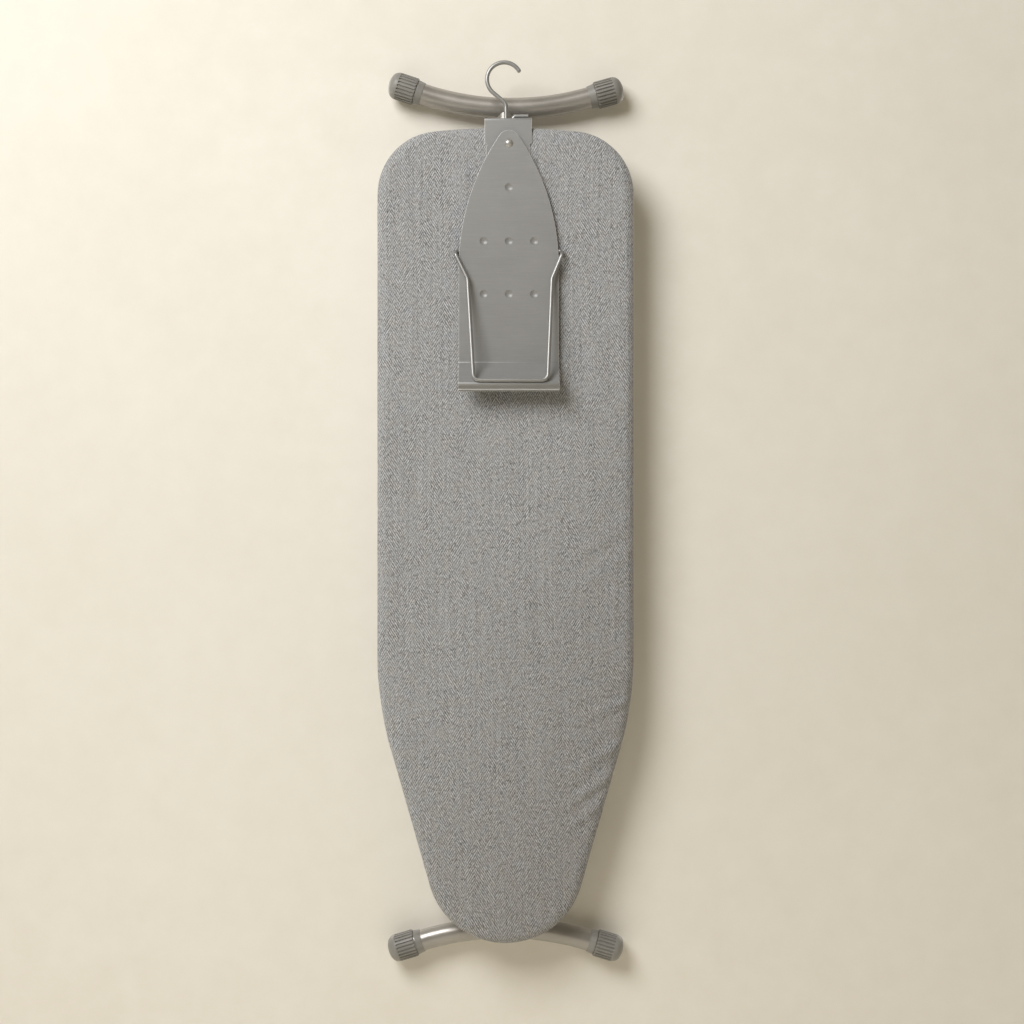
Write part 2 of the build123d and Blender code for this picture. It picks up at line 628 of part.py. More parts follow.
HINGE_TUBE_INNER = HINGE_TUBE_RADIUS - TUBE_WALL
REAR_DRILLED = REAR_TUBE - bar(*HINGE_AXIS, HINGE_TUBE_RADIUS) - bar(*PIVOT_AXIS, PIVOT_BUSH_RADIUS)
write("rear_leg_tube", REAR_DRILLED - foot_core("rear"))
write("rear_tube_plug", tube_plug(0, HINGE_Z - REAR_END, -1, REAR_TUBE_RADIUS))
write("hinge_tube", bar(*HINGE_AXIS, HINGE_TUBE_RADIUS) - bar(*HINGE_AXIS, HINGE_TUBE_INNER))
BUSH_ENDS = (HINGE_TUBE_HALF - BUSH_LENGTH, HINGE_TUBE_HALF + 0.6)
write(
    "hinge_bushes",
    bush(*BUSH_ENDS, HINGE_TUBE_INNER),
    bush(-BUSH_ENDS[1], -BUSH_ENDS[0], HINGE_TUBE_INNER),
)
write("pivot_bush", bar(*PIVOT_AXIS, PIVOT_BUSH_RADIUS) - bar(*PIVOT_AXIS, PIN_RADIUS + RUNNING))

# ---------------------------------------------------------------- front leg

STAY_Z = 150.0
STAY_RADIUS = 8.0
PIVOT_HEAD = 5.5
HEXAGON_HALF_FLATS = 6.5
AXLE_HALF = FRONT_TUBE_X + FRONT_TUBE_RADIUS + 1.5


def front_tube(side):
    """One of the front leg's pair of tubes, drilled for the slider axle and the pivot bolt."""
    x = side * FRONT_TUBE_X
    tube, solid = leg_tube(leg_points(x, SLIDER_Z, FEET["front"][0], FRONT_END), FRONT_TUBE_RADIUS)
    far = 2 * FRONT_TUBE_X
    drilled = tube - bar((-far, LINK_Y, SLIDER_Z), (far, LINK_Y, SLIDER_Z), PIN_RADIUS)
    drilled -= bar((-far, LEG_Y, PIVOT_Z), (far, LEG_Y, PIVOT_Z), PIN_RADIUS)
    return drilled - foot_core("front"), solid


def hexagon(x_low, x_high):
    """A hexagon head or nut on the pivot's axis."""
    plane = Plane(origin=(x_low, LEG_Y, PIVOT_Z), z_dir=(1, 0, 0))
    return extrude(plane * RegularPolygon(HEXAGON_HALF_FLATS, 6, major_radius=False), x_high - x_low)


def pivot_ring(x_low, x_high, radius):
    """A washer or spacer on the pivot bolt."""
    ends = [(x, LEG_Y, PIVOT_Z) for x in (x_low, x_high)]
    return bar(*ends, radius) - bar(*ends, PIN_RADIUS + RUNNING)


TUBE_SIDE = FRONT_TUBE_X + FRONT_TUBE_RADIUS
RIGHT_TUBE, RIGHT_SOLID = front_tube(1)
LEFT_TUBE, LEFT_SOLID = front_tube(-1)
write("front_tube_right", RIGHT_TUBE)
write("front_tube_left", LEFT_TUBE)
PLUG_Z = SLIDER_Z + FRONT_END
PLUGS = [tube_plug(side * FRONT_TUBE_X, PLUG_Z, 1, FRONT_TUBE_RADIUS) for side in (-1, 1)]
write("front_tube_plugs", *PLUGS)
STAY = [(-FRONT_TUBE_X, LEG_Y, STAY_Z), (FRONT_TUBE_X, LEG_Y, STAY_Z)]
STAY_TUBE = bar(*STAY, STAY_RADIUS) - bar(*STAY, STAY_RADIUS - TUBE_WALL)
write("front_leg_stay", STAY_TUBE - RIGHT_SOLID - LEFT_SOLID)
HEAD_X = -TUBE_SIDE - 0.5
BOLT_ENDS = [(HEAD_X, LEG_Y, PIVOT_Z), (TUBE_SIDE + PIVOT_HEAD + 2, LEG_Y, PIVOT_Z)]
write("pivot_bolt", bar(*BOLT_ENDS, PIN_RADIUS) + hexagon(HEAD_X - PIVOT_HEAD, HEAD_X))
NUT_X = TUBE_SIDE + 1.7
write("pivot_nut", hexagon(NUT_X, NUT_X + PIVOT_HEAD) - bar(*BOLT_ENDS, PIN_RADIUS))
write("pivot_washer", pivot_ring(TUBE_SIDE + 0.1, NUT_X - 0.1, 8.0))
SPACER = (PIVOT_BUSH_HALF + 0.3, FRONT_TUBE_X - FRONT_TUBE_RADIUS - 0.1)
write("pivot_spacers", pivot_ring(*SPACER, 9.0), pivot_ring(-SPACER[1], -SPACER[0], 9.0))
AXLE_ENDS = [(-AXLE_HALF, LINK_Y, SLIDER_Z), (AXLE_HALF, LINK_Y, SLIDER_Z)]
write("slider_axle", bar(*AXLE_ENDS, PIN_RADIUS))


def axle_cap(side):
    """A pressed cap on one end of the slider's axle."""
    start = (side * (TUBE_SIDE + 0.2), LINK_Y, SLIDER_Z)
    shell = bar(start, (side * (AXLE_HALF + 1.5), LINK_Y, SLIDER_Z), 6.5)
    shell = fillet(shell.edges().group_by(Axis.X)[-1 if side > 0 else 0], 1.2)
    return shell - bar(*AXLE_ENDS, PIN_RADIUS)


write("axle_caps", axle_cap(-1), axle_cap(1))

# ---------------------------------------------------------------- slider and lock

ARM_END_X = GRIP_X[1] - 4.0
ARM = block((0, ARM_END_X), (7, 21), (SLIDER_Z + 16, SLIDER_TOP_Z))
LUG_X = (-SLIDER_HALF_WIDTH, 13.0)
LUG_BACK_Y = 23.0
CHEEK = 3.0
LOCK_PIN_RADIUS = 2.0


def carriage():
    """The slider's moulding: block, finger arm, and a lug over the lock plate."""
    half = (-SLIDER_HALF_WIDTH, SLIDER_HALF_WIDTH)
    body = fillet(block(half, SLIDER_Y, (SLIDER_FOOT_Z, SLIDER_TOP_Z)).edges().filter_by(Axis.Y), 4)
    wall = block((-SLIDER_HALF_WIDTH, -18), (SLIDER_Y[0], LUG_BACK_Y), (SLIDER_TOP_Z - 10, LUG_TOP_Z))
    roof = block(LUG_X, (SLIDER_Y[0], LUG_BACK_Y), (LUG_TOP_Z - 5, LUG_TOP_Z))
    cheeks = [
        block((-20, -7), y, (SLIDER_TOP_Z - 2, LUG_TOP_Z - 2))
        for y in ((SLIDER_Y[0], SLIDER_Y[0] + CHEEK), (LUG_BACK_Y - CHEEK, LUG_BACK_Y))
    ]
    rod = bar((0, ROD_Y, ROD_LOW_Z), (0, ROD_Y, ROD_HIGH_Z), ROD_RADIUS + SLIDER_CLEARANCE)
    axle = bar(*AXLE_ENDS, PIN_RADIUS + RUNNING)
    pin = bar((LOCK_X, 0, LOCK_Z), (LOCK_X, 40, LOCK_Z), LOCK_PIN_RADIUS)
    return body + ARM + wall + roof + cheeks - rod - axle - pin


def grip(x_low, x_high, y, z_low, z_high, core):
    """A rounded sleeve over a flat arm."""
    sleeve = block((x_low, x_high), y, (z_low, z_high))
    sleeve = fillet(sleeve.edges().filter_by(Axis.X), (z_high - z_low) / 2 - 0.6)
    return sleeve - core


def tilted(shape, degrees_up):
    """A lock part, turned about the lock's pin."""
    return Pos(LOCK_X, 0, LOCK_Z) * Rot(0, -degrees_up, 0) * Pos(-LOCK_X, 0, -LOCK_Z) * shape


LOCK_Y = (3.2, 20.2)
LEVER_GRIP_Y = (2.0, 22.4)
LEVER_GRIP_HALF = 5.0
EYE_Y = (SLIDER_Y[0] + CHEEK + 0.3, LUG_BACK_Y - CHEEK - 0.3)


def lock_plate():
    """The plate, with a rolled eye on the pin and a hole that grips the rod when it is tilted."""
    half = LOCK_THICKNESS / 2
    plate = block((LOCK_X + 7, ARM_END_X), LOCK_Y, (LOCK_Z - half, LOCK_Z + half))
    neck = block((LOCK_X, LOCK_X + 8), EYE_Y, (LOCK_Z - half, LOCK_Z + half))
    eye = bar((LOCK_X, EYE_Y[0], LOCK_Z), (LOCK_X, EYE_Y[1], LOCK_Z), LOCK_PIN_RADIUS + 2)
    pin = bar((LOCK_X, 0, LOCK_Z), (LOCK_X, 40, LOCK_Z), LOCK_PIN_RADIUS + RUNNING)
    hole = bar((0, ROD_Y, LOCK_Z - 5), (0, ROD_Y, LOCK_Z + 5), ROD_RADIUS + LOCK_CLEARANCE)
    return tilted(plate + neck + eye - pin - hole, LOCK_TILT)


def lever_grip():
    """The squeeze grip on the lock plate's free end."""
    half = LOCK_THICKNESS / 2
    core = block((0, ARM_END_X), LOCK_Y, (LOCK_Z - half, LOCK_Z + half))
    low, high = LOCK_Z - LEVER_GRIP_HALF, LOCK_Z + LEVER_GRIP_HALF
    return tilted(grip(*GRIP_X, LEVER_GRIP_Y, low, high, core), LOCK_TILT)


def lock_spring():
    """The compression spring round the rod, under the lock plate."""
    low, high = SLIDER_TOP_Z + 1.2, LOCK_Z - 3.4
    coil = Pos(0, ROD_Y, low) * Helix(pitch=3.9, height=high - low, radius=7.4)
    return sweep(Plane(origin=coil @ 0, z_dir=coil % 0) * Circle(0.9), path=coil, is_frenet=True)


write("slider_carriage", carriage())
write("finger_grip", grip(*GRIP_X, (3.4, 24.4), SLIDER_Z + 14.5, SLIDER_TOP_Z + 1.5, ARM))
PIN_ENDS = [(LOCK_X, SLIDER_Y[0], LOCK_Z), (LOCK_X, LUG_BACK_Y, LOCK_Z)]
write("lock_pin", bar(*PIN_ENDS, LOCK_PIN_RADIUS))
write("lock_plate", lock_plate())
write("lever_grip", lever_grip())
write("lock_spring", lock_spring())
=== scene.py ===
import math

import bpy
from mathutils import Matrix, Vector, noise
from mathutils.bvhtree import BVHTree
from mathutils.kdtree import KDTree

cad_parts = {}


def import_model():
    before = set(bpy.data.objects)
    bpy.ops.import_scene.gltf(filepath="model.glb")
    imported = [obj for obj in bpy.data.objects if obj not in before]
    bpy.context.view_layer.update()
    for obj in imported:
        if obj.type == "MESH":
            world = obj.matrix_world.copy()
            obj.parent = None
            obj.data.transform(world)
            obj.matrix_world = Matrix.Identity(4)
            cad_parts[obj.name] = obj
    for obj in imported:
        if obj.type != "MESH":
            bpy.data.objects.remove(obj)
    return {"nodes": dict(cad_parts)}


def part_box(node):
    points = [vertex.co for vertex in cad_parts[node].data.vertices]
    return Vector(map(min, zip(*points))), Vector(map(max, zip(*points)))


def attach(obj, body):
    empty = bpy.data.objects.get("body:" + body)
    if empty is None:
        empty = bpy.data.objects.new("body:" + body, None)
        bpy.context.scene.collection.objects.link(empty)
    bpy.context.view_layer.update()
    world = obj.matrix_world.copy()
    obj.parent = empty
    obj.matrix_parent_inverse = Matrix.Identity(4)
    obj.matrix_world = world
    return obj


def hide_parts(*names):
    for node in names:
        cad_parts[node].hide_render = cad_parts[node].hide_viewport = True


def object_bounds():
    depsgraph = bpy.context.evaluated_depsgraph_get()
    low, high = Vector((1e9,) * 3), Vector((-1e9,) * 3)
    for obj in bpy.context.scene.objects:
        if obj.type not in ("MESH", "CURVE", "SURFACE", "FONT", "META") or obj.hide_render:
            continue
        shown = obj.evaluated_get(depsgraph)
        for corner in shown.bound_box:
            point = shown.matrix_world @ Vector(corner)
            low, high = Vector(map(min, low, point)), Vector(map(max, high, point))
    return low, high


# A folding ironing board hanging flat against a wall. The frame's x runs across the board, y from
# the ironing face (low) to the underside (high), and z up to the hook's seat at the origin. Lengths
# are in metres, and MM turns millimetres into metres.

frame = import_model()
CAD_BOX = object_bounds()

MM = 0.001
NODES = frame["nodes"]

# ---------------------------------------------------------------- places, from the frame

PAD_LOW, PAD_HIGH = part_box("pad")
COVER_LOW, COVER_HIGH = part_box("cover")
HEM_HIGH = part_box("cover_hem")[1]
CORD_LOW, CORD_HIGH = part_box("hem_cord")
DECK_LOW, DECK_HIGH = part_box("deck_panel")
BOARD_X = (COVER_LOW.x + COVER_HIGH.x) / 2
NOSE_Z = COVER_LOW.z
FACE_Y = COVER_LOW.y

# The board's outline, as in the CAD source: a round nose, tapers, shoulders, parallel sides,
# round corners and a crowned end.
BOARD_LENGTH = COVER_HIGH.z - COVER_LOW.z
HALF_WIDTH = (COVER_HIGH.x - COVER_LOW.x) / 2
NOSE_RADIUS = 118 * MM
TAPER = math.radians(16)
SHOULDER_RADIUS = 510 * MM
CORNER_RADIUS = 95 * MM
CROWN_RADIUS = 1100 * MM
SHOULDER_X = HALF_WIDTH - SHOULDER_RADIUS
SHOULDER_Z = (
    NOSE_RADIUS * (1 - math.sin(TAPER))
    + (SHOULDER_X + (SHOULDER_RADIUS - NOSE_RADIUS) * math.cos(TAPER)) / math.tan(TAPER)
    + SHOULDER_RADIUS * math.sin(TAPER)
)
CORNER_X = HALF_WIDTH - CORNER_RADIUS
CROWN_Z = BOARD_LENGTH - CROWN_RADIUS
CORNER_Z = CROWN_Z + math.sqrt((CROWN_RADIUS - CORNER_RADIUS) ** 2 - CORNER_X**2)
CORNER_TURN = math.atan2(CORNER_Z - CROWN_Z, CORNER_X)


def arc_points(centre, radius, start, end, step):
    """Points and outward normals along an arc, without its last point."""
    count = max(2, round(abs(end - start) * radius / step))
    found = []
    for i in range(count):
        angle = start + (end - start) * i / count
        normal = Vector((math.cos(angle), math.sin(angle)))
        found.append((Vector(centre) + normal * radius, normal))
    return found


def line_points(start, end, normal, step):
    """Points and one outward normal along a straight edge, without its last point."""
    start, end = Vector(start), Vector(end)
    count = max(2, round((end - start).length / step))
    return [(start.lerp(end, i / count), Vector(normal)) for i in range(count)]


def half_outline(step):
    """The right half of the board's outline from the nose's tip to the end's middle, in x and z
    above the nose, as (point, outward normal)."""
    tilt = Vector((math.cos(TAPER), -math.sin(TAPER)))
    nose_end = Vector((0, NOSE_RADIUS)) + tilt * NOSE_RADIUS
    shoulder_start = Vector((SHOULDER_X, SHOULDER_Z)) + tilt * SHOULDER_RADIUS
    found = arc_points((0, NOSE_RADIUS), NOSE_RADIUS, -math.pi / 2, -TAPER, step)
    found += line_points(nose_end, shoulder_start, tilt, step)
    found += arc_points((SHOULDER_X, SHOULDER_Z), SHOULDER_RADIUS, -TAPER, 0, step)
    found += line_points((HALF_WIDTH, SHOULDER_Z), (HALF_WIDTH, CORNER_Z), (1, 0), step)
    found += arc_points((CORNER_X, CORNER_Z), CORNER_RADIUS, 0, CORNER_TURN, step)
    found += arc_points((0, CROWN_Z), CROWN_RADIUS, CORNER_TURN, math.pi / 2, step)
    found.append((Vector((0, BOARD_LENGTH)), Vector((0, 1))))
    return found


def at_length(points, share):
    """The point and normal at a share of a polyline's length."""
    lengths = [0.0]
    for (a, _), (b, _) in zip(points, points[1:]):
        lengths.append(lengths[-1] + (b - a).length)
    want = share * lengths[-1]
    for i in range(1, len(points)):
        if lengths[i] >= want - 1e-9:
            break
    run = lengths[i] - lengths[i - 1]
    t = (want - lengths[i - 1]) / run
    normal = points[i - 1][1].lerp(points[i][1], t).normalized()
    return points[i - 1][0].lerp(points[i][0], t), normal


FINE = half_outline(1.5 * MM)
FINE_LENGTH = sum((b - a).length for (a, _), (b, _) in zip(FINE, FINE[1:]))
EDGE_TREE = KDTree(len(FINE))
for number, (edge_point, _) in enumerate(FINE):
    EDGE_TREE.insert((edge_point.x, edge_point.y, 0), number)
EDGE_TREE.balance()


def even_outline(count):
    """The whole outline from the nose's tip round to the right, as count even steps."""
    half = count // 2
    right = [at_length(FINE, i / half) for i in range(half + 1)]
    left = [(Vector((-p.x, p.y)), Vector((-n.x, n.y))) for p, n in reversed(right[1:-1])]
    return right + left


def place(point, inset_normal, inset, y):
    """A point of the outline moved inward, in the row frame."""
    p = point - inset_normal * inset
    return Vector((BOARD_X + p.x, y, NOSE_Z + p.y))


# ---------------------------------------------------------------- meshes


def new_object(name, vertices, faces, smooth=True):
    mesh = bpy.data.meshes.new(name)
    mesh.from_pydata([tuple(v) for v in vertices], [], faces)
    mesh.update()
    mesh.polygons.foreach_set("use_smooth", [smooth] * len(mesh.polygons))
    made = bpy.data.objects.new(name, mesh)
    bpy.context.scene.collection.objects.link(made)
    return made


def apply_modifiers(obj):
    """Bakes an object's modifiers into its mesh."""
    graph = bpy.context.evaluated_depsgraph_get()
    graph.update()
    evaluated = obj.evaluated_get(graph)
    mesh = bpy.data.meshes.new_from_object(evaluated, preserve_all_data_layers=True, depsgraph=graph)
    obj.modifiers.clear()
    obj.data = mesh


# ---------------------------------------------------------------- material nodes


class Nodes:
    """A material whose nodes are made by short calls. Inputs are numbers, colours or outputs."""

    def __init__(self, name, roughness=0.5, metallic=0.0, **constants):
        self.material = bpy.data.materials.new(name)
        self.material.use_nodes = True
        self.tree = self.material.node_tree
        self.shader = self.tree.nodes["Principled BSDF"]
        self.output = self.tree.nodes["Material Output"]
        self.shader.inputs["Roughness"].default_value = roughness
        self.shader.inputs["Metallic"].default_value = metallic
        for key, value in constants.items():
            self.shader.inputs[key.replace("_", " ")].default_value = value

    def put(self, socket, value):
        if isinstance(value, bpy.types.NodeSocket):
            self.tree.links.new(value, socket)
        elif value is not None:
            socket.default_value = value

    def node(self, kind, *inputs, out=0, **settings):
        made = self.tree.nodes.new(kind)
        for key, value in settings.items():
            setattr(made, key, value)
        for socket, value in inputs:
            self.put(made.inputs[socket], value)
        return made.outputs[out]

    def place(self, scale=(1, 1, 1), turn=0.0):
        """Coordinates fixed to the piece, in metres times scale, turned about y by turn degrees."""
        start = self.node("ShaderNodeTexCoord", out="Object")
        turned = self.node(
            "ShaderNodeMapping", (0, start), ("Rotation", (0, math.radians(turn), 0)), vector_type="POINT"
        )
        return self.node("ShaderNodeMapping", (0, turned), ("Scale", scale), vector_type="POINT")

    def noise(self, vector, scale, detail=2.0, rough=0.5, distortion=0.0):
        return self.node(
            "ShaderNodeTexNoise",
            ("Vector", vector),
            ("Scale", scale),
            ("Detail", detail),
            ("Roughness", rough),
            ("Distortion", distortion),
        )

    def wave(self, vector, scale, distortion=0.0, detail=1.0, detail_scale=1.0, direction="X"):
        return self.node(
            "ShaderNodeTexWave",
            ("Vector", vector),
            ("Scale", scale),
            ("Distortion", distortion),
            ("Detail", detail),
            ("Detail Scale", detail_scale),
            bands_direction=direction,
        )

    def maths(self, operation, a, b):
        return self.node("ShaderNodeMath", (0, a), (1, b), operation=operation)

    def spread(self, value, low, high, to_low=0.0, to_high=1.0):
        return self.node(
            "ShaderNodeMapRange",
            ("Value", value),
            ("From Min", low),
            ("From Max", high),
            ("To Min", to_low),
            ("To Max", to_high),
        )

    def ramp(self, value, *stops):
        made = self.tree.nodes.new("ShaderNodeValToRGB")
        self.put(made.inputs[0], value)
        elements = made.color_ramp.elements
        while len(elements) < len(stops):
            elements.new(0.5)
        for element, (at, colour) in zip(elements, stops):
            element.position = at
            element.color = (*colour, 1)
        return made.outputs[0]

    def mix(self, factor, a, b, blend="MIX"):
        return self.node(
            "ShaderNodeMix", (0, factor), (6, a), (7, b), out=2, data_type="RGBA", blend_type=blend
        )

    def bump(self, height, distance, strength):
        return self.node(
            "ShaderNodeBump", ("Strength", strength), ("Distance", distance), ("Height", height)
        )

    def finish(self, colour=None, roughness=None, normal=None):
        self.put(self.shader.inputs["Base Color"], colour)
        self.put(self.shader.inputs["Roughness"], roughness)
        self.put(self.shader.inputs["Normal"], normal)
        return self.material


def rgb(red, green, blue):
    """A colour given as it looks on screen, 0 to 255, in linear light."""
    shares = (red / 255, green / 255, blue / 255)
    return tuple(c / 12.92 if c <= 0.04045 else ((c + 0.055) / 1.055) ** 2.4 for c in shares)


def rgba(*screen):
    return (*rgb(*screen), 1.0)


TWILL_BANDS = 105.0  # gives a diagonal every 3 mm
TWILL_LEANS = (31.0, -32.0)  # degrees that the diagonals lean, each way


def cloth_material():
    """A grey twill whose broken diagonals lean both ways, over flecked warp and weft."""
    tint = rgba(225, 222, 215)
    m = Nodes("cover_twill", roughness=0.9, Sheen_Weight=0.3, Sheen_Roughness=0.5, Sheen_Tint=tint)
    plain = m.node("ShaderNodeUVMap", uv_map="Weave")

    def stretched(x, y, turn=0.0):
        spin = (0, 0, math.radians(turn))
        turned = m.node("ShaderNodeMapping", (0, plain), ("Rotation", spin), vector_type="POINT")
        return m.node("ShaderNodeMapping", (0, turned), ("Scale", (x, y, 1)), vector_type="POINT")

    leans = []
    for turn in TWILL_LEANS:
        line = m.wave(stretched(1, 1, turn), TWILL_BANDS, distortion=1.9, detail=2.0, detail_scale=2.2)
        chop = m.noise(stretched(420, 200, turn), 1.0, 1.0)
        leans.append(m.maths("MULTIPLY", line, m.spread(chop, 0.35, 0.6, 0.25, 1.0)))
    lean = m.spread(m.noise(stretched(52, 9), 1.0, 3.0, 0.6, 0.5), 0.42, 0.58, 0.06, 0.94)
    diagonal = m.mix(lean, leans[0], leans[1])
    fade = m.spread(m.noise(plain, 26.0, 3.0, 0.6), 0.35, 0.66, 0.6, 1.0)
    warp = m.noise(stretched(760, 210), 1.0, 2.0, 0.6)
    weft = m.noise(stretched(230, 820), 1.0, 2.0, 0.6)
    slub = m.noise(stretched(260, 5), 1.0, 2.0, 0.6)
    threads = m.maths("ADD", m.maths("MULTIPLY", warp, 0.5), m.maths("MULTIPLY", weft, 0.35))
    flecks = m.maths("ADD", threads, m.maths("MULTIPLY", slub, 0.15))
    faded = m.maths("MULTIPLY", m.maths("SUBTRACT", diagonal, 0.4), fade)
    value = m.maths("ADD", m.maths("MULTIPLY", faded, 0.52), flecks)
    yarn = m.ramp(
        value,
        (0.26, rgb(88, 88, 88)),
        (0.42, rgb(147, 149, 151)),
        (0.58, rgb(180, 182, 185)),
        (0.80, rgb(216, 219, 224)),
    )
    warm = m.spread(m.noise(plain, 62.0, 3.0, 0.6), 0.38, 0.64)
    tinted = m.mix(m.maths("MULTIPLY", warm, 0.26), yarn, m.mix(1.0, yarn, rgba(255, 240, 222), "MULTIPLY"))
    cool = m.spread(m.noise(plain, 47.0, 2.0, 0.5), 0.48, 0.70, 0.0, 0.22)
    mottled = m.mix(cool, tinted, m.mix(1.0, tinted, rgba(232, 241, 255), "MULTIPLY"))
    # Painted shade: the cloth is a shade darker towards the nose end and the right side, with a little
    # noise at the edge of the darkening, standing in for the lamp's light falling off across the board.
    across = m.node("ShaderNodeSeparateXYZ", (0, plain), out=0)
    height_up = m.node("ShaderNodeSeparateXYZ", (0, plain), out=1)
    shade_position = m.maths("ADD", height_up, m.maths("MULTIPLY", m.noise(plain, 5.0, 3.0, 0.6), 0.3))
    painted_falloff_shade = m.spread(m.maths("SUBTRACT", shade_position, m.maths("MULTIPLY", across, 2.0)), 0.1, 0.75, 0.66, 0.06)
    colour = m.mix(painted_falloff_shade, mottled, m.mix(1.0, mottled, rgba(216, 212, 207), "MULTIPLY"))
    height = m.maths("ADD", m.maths("MULTIPLY", faded, 0.8), flecks)
    rough = m.spread(value, 0.2, 0.8, 0.97, 0.84)
    return m.finish(colour, rough, m.bump(height, 0.5 * MM, 0.5))


def felt_material():
    m = Nodes("pad_felt_white", roughness=0.97, Sheen_Weight=0.3, Sheen_Roughness=0.6)
    near = m.place()
    fibres = m.noise(near, 900.0, 5.0, 0.72, 1.4)
    tufts = m.noise(near, 90.0, 3.0, 0.6)
    value = m.maths("ADD", m.maths("MULTIPLY", fibres, 0.6), m.maths("MULTIPLY", tufts, 0.4))
    colour = m.ramp(value, (0.3, rgb(188, 184, 174)), (0.5, rgb(221, 218, 209)), (0.7, rgb(240, 238, 231)))
    return m.finish(colour, m.spread(value, 0.3, 0.7, 1.0, 0.9), m.bump(value, 0.8 * MM, 0.7))


def cord_material(name, dark, light, turns=420.0):
    """Braided cord or thread."""
    m = Nodes(name, roughness=0.8, Sheen_Weight=0.2)
    near = m.place()
    braid = m.wave(near, turns, 2.0, 2.0, 1.5, "DIAGONAL")
    fluff = m.noise(near, 1500.0, 3.0, 0.6)
    value = m.maths("ADD", m.maths("MULTIPLY", braid, 0.6), m.maths("MULTIPLY", fluff, 0.4))
    colour = m.ramp(value, (0.25, rgb(*dark)), (0.75, rgb(*light)))
    return m.finish(colour, m.spread(value, 0.2, 0.8, 0.9, 0.7), m.bump(value, 0.3 * MM, 0.8))


def painted_material(name, tone, roughness, metallic):
    """Satin powder coat over steel: orange peel, fine flake, faint scuffs and dust."""
    m = Nodes(name, roughness=roughness, metallic=metallic, Coat_Weight=0.12, Coat_Roughness=0.3)
    near = m.place()
    peel = m.noise(near, 650.0, 2.0, 0.5)
    flake = m.noise(near, 3600.0, 1.0, 0.5)
    cloud = m.noise(near, 14.0, 4.0, 0.6)
    scuffs = m.noise(m.place((60, 60, 900), 18.0), 1.0, 3.0, 0.7)
    base = rgb(*tone)
    colour = m.ramp(
        m.maths("ADD", m.maths("MULTIPLY", flake, 0.5), m.maths("MULTIPLY", cloud, 0.5)),
        (0.35, tuple(c * 0.86 for c in base)),
        (0.65, tuple(min(1.0, c * 1.12) for c in base)),
    )
    mark = m.spread(scuffs, 0.62, 0.74, 0.0, 0.35)
    colour = m.mix(mark, colour, (*tuple(min(1.0, c * 1.35) for c in base), 1))
    patchy = m.spread(cloud, 0.3, 0.7, roughness - 0.05, roughness + 0.07)
    rough = m.maths("ADD", patchy, m.maths("MULTIPLY", mark, 0.15))
    return m.finish(colour, rough, m.bump(peel, 0.12 * MM, 0.5))


def brushed_material(name, tone, roughness, streak=(22.0, 60.0, 5200.0), metallic=0.9, contrast=1.0):
    """Sheet steel brushed in one direction, with soft clouding and a few handling marks."""
    m = Nodes(name, roughness=roughness, metallic=metallic, Anisotropic=0.25)
    near = m.place()
    fine = m.noise(m.place(streak), 1.0, 3.0, 0.6)
    broad = m.noise(m.place((30.0, 60.0, 620.0)), 1.0, 3.0, 0.6)
    cloud = m.noise(near, 16.0, 3.0, 0.55)
    spots = m.noise(near, 210.0, 3.0, 0.7)
    base = rgb(*tone)
    streaks = m.maths("ADD", m.maths("MULTIPLY", fine, 0.55), m.maths("MULTIPLY", broad, 0.45))
    value = m.maths("ADD", m.maths("MULTIPLY", streaks, 0.7), m.maths("MULTIPLY", cloud, 0.3))
    colour = m.ramp(
        value,
        (0.30, tuple(c * (1 - 0.20 * contrast) for c in base)),
        (0.50, base),
        (0.70, tuple(min(1.0, c * (1 + 0.22 * contrast)) for c in base)),
    )
    mark = m.spread(spots, 0.66, 0.80, 0.0, 0.25)
    colour = m.mix(mark, colour, (*tuple(c * 0.72 for c in base), 1))
    streaky = m.spread(streaks, 0.3, 0.7, roughness - 0.07, roughness + 0.08)
    rough = m.maths("ADD", streaky, m.maths("MULTIPLY", mark, 0.3))
    return m.finish(colour, rough, m.bump(fine, 0.02 * MM, 0.35))


def plastic_material(name, tone, roughness, texture=1.0):
    """Moulded plastic with a fine spark-eroded grain and slightly uneven tone."""
    m = Nodes(name, roughness=roughness)
    near = m.place()
    grain = m.noise(near, 1500.0 * texture, 2.0, 0.6)
    cloud = m.noise(near, 38.0, 3.0, 0.6)
    dust = m.noise(near, 240.0, 4.0, 0.75)
    base = rgb(*tone)
    colour = m.ramp(
        cloud, (0.3, tuple(c * 0.88 for c in base)), (0.7, tuple(min(1.0, c * 1.10) for c in base))
    )
    mark = m.spread(dust, 0.60, 0.78, 0.0, 0.22)
    colour = m.mix(mark, colour, (*tuple(min(1.0, c * 1.45 + 0.02) for c in base), 1))
    rough = m.spread(grain, 0.3, 0.7, roughness - 0.05, roughness + 0.10)
    return m.finish(colour, rough, m.bump(grain, 0.06 * MM, 0.6))


# ---------------------------------------------------------------- stage, camera and lights

# The picture is square. The camera looks level along +y, from in front of the board's middle.
EYE_DISTANCE = 2.70
EYE_HEIGHT = 0.645
EYE_ASIDE = 0.0097
EYE = Vector((BOARD_X + EYE_ASIDE, -EYE_DISTANCE, NOSE_Z + EYE_HEIGHT))
LENS = 63.4
SENSOR = 36.0
WALL_GAP = 3.5 * MM
WALL_Y = CAD_BOX[1].y + WALL_GAP
WALL_HALF = 6.0
WALL_HEIGHT = 4.0
FLOOR_GAP = 0.42
FLOOR_Z = CAD_BOX[0].z - FLOOR_GAP
AMBIENT = (1.0, 0.85, 0.60, 1)  # the warm light of the room
AMBIENT_STRENGTH = 0.168

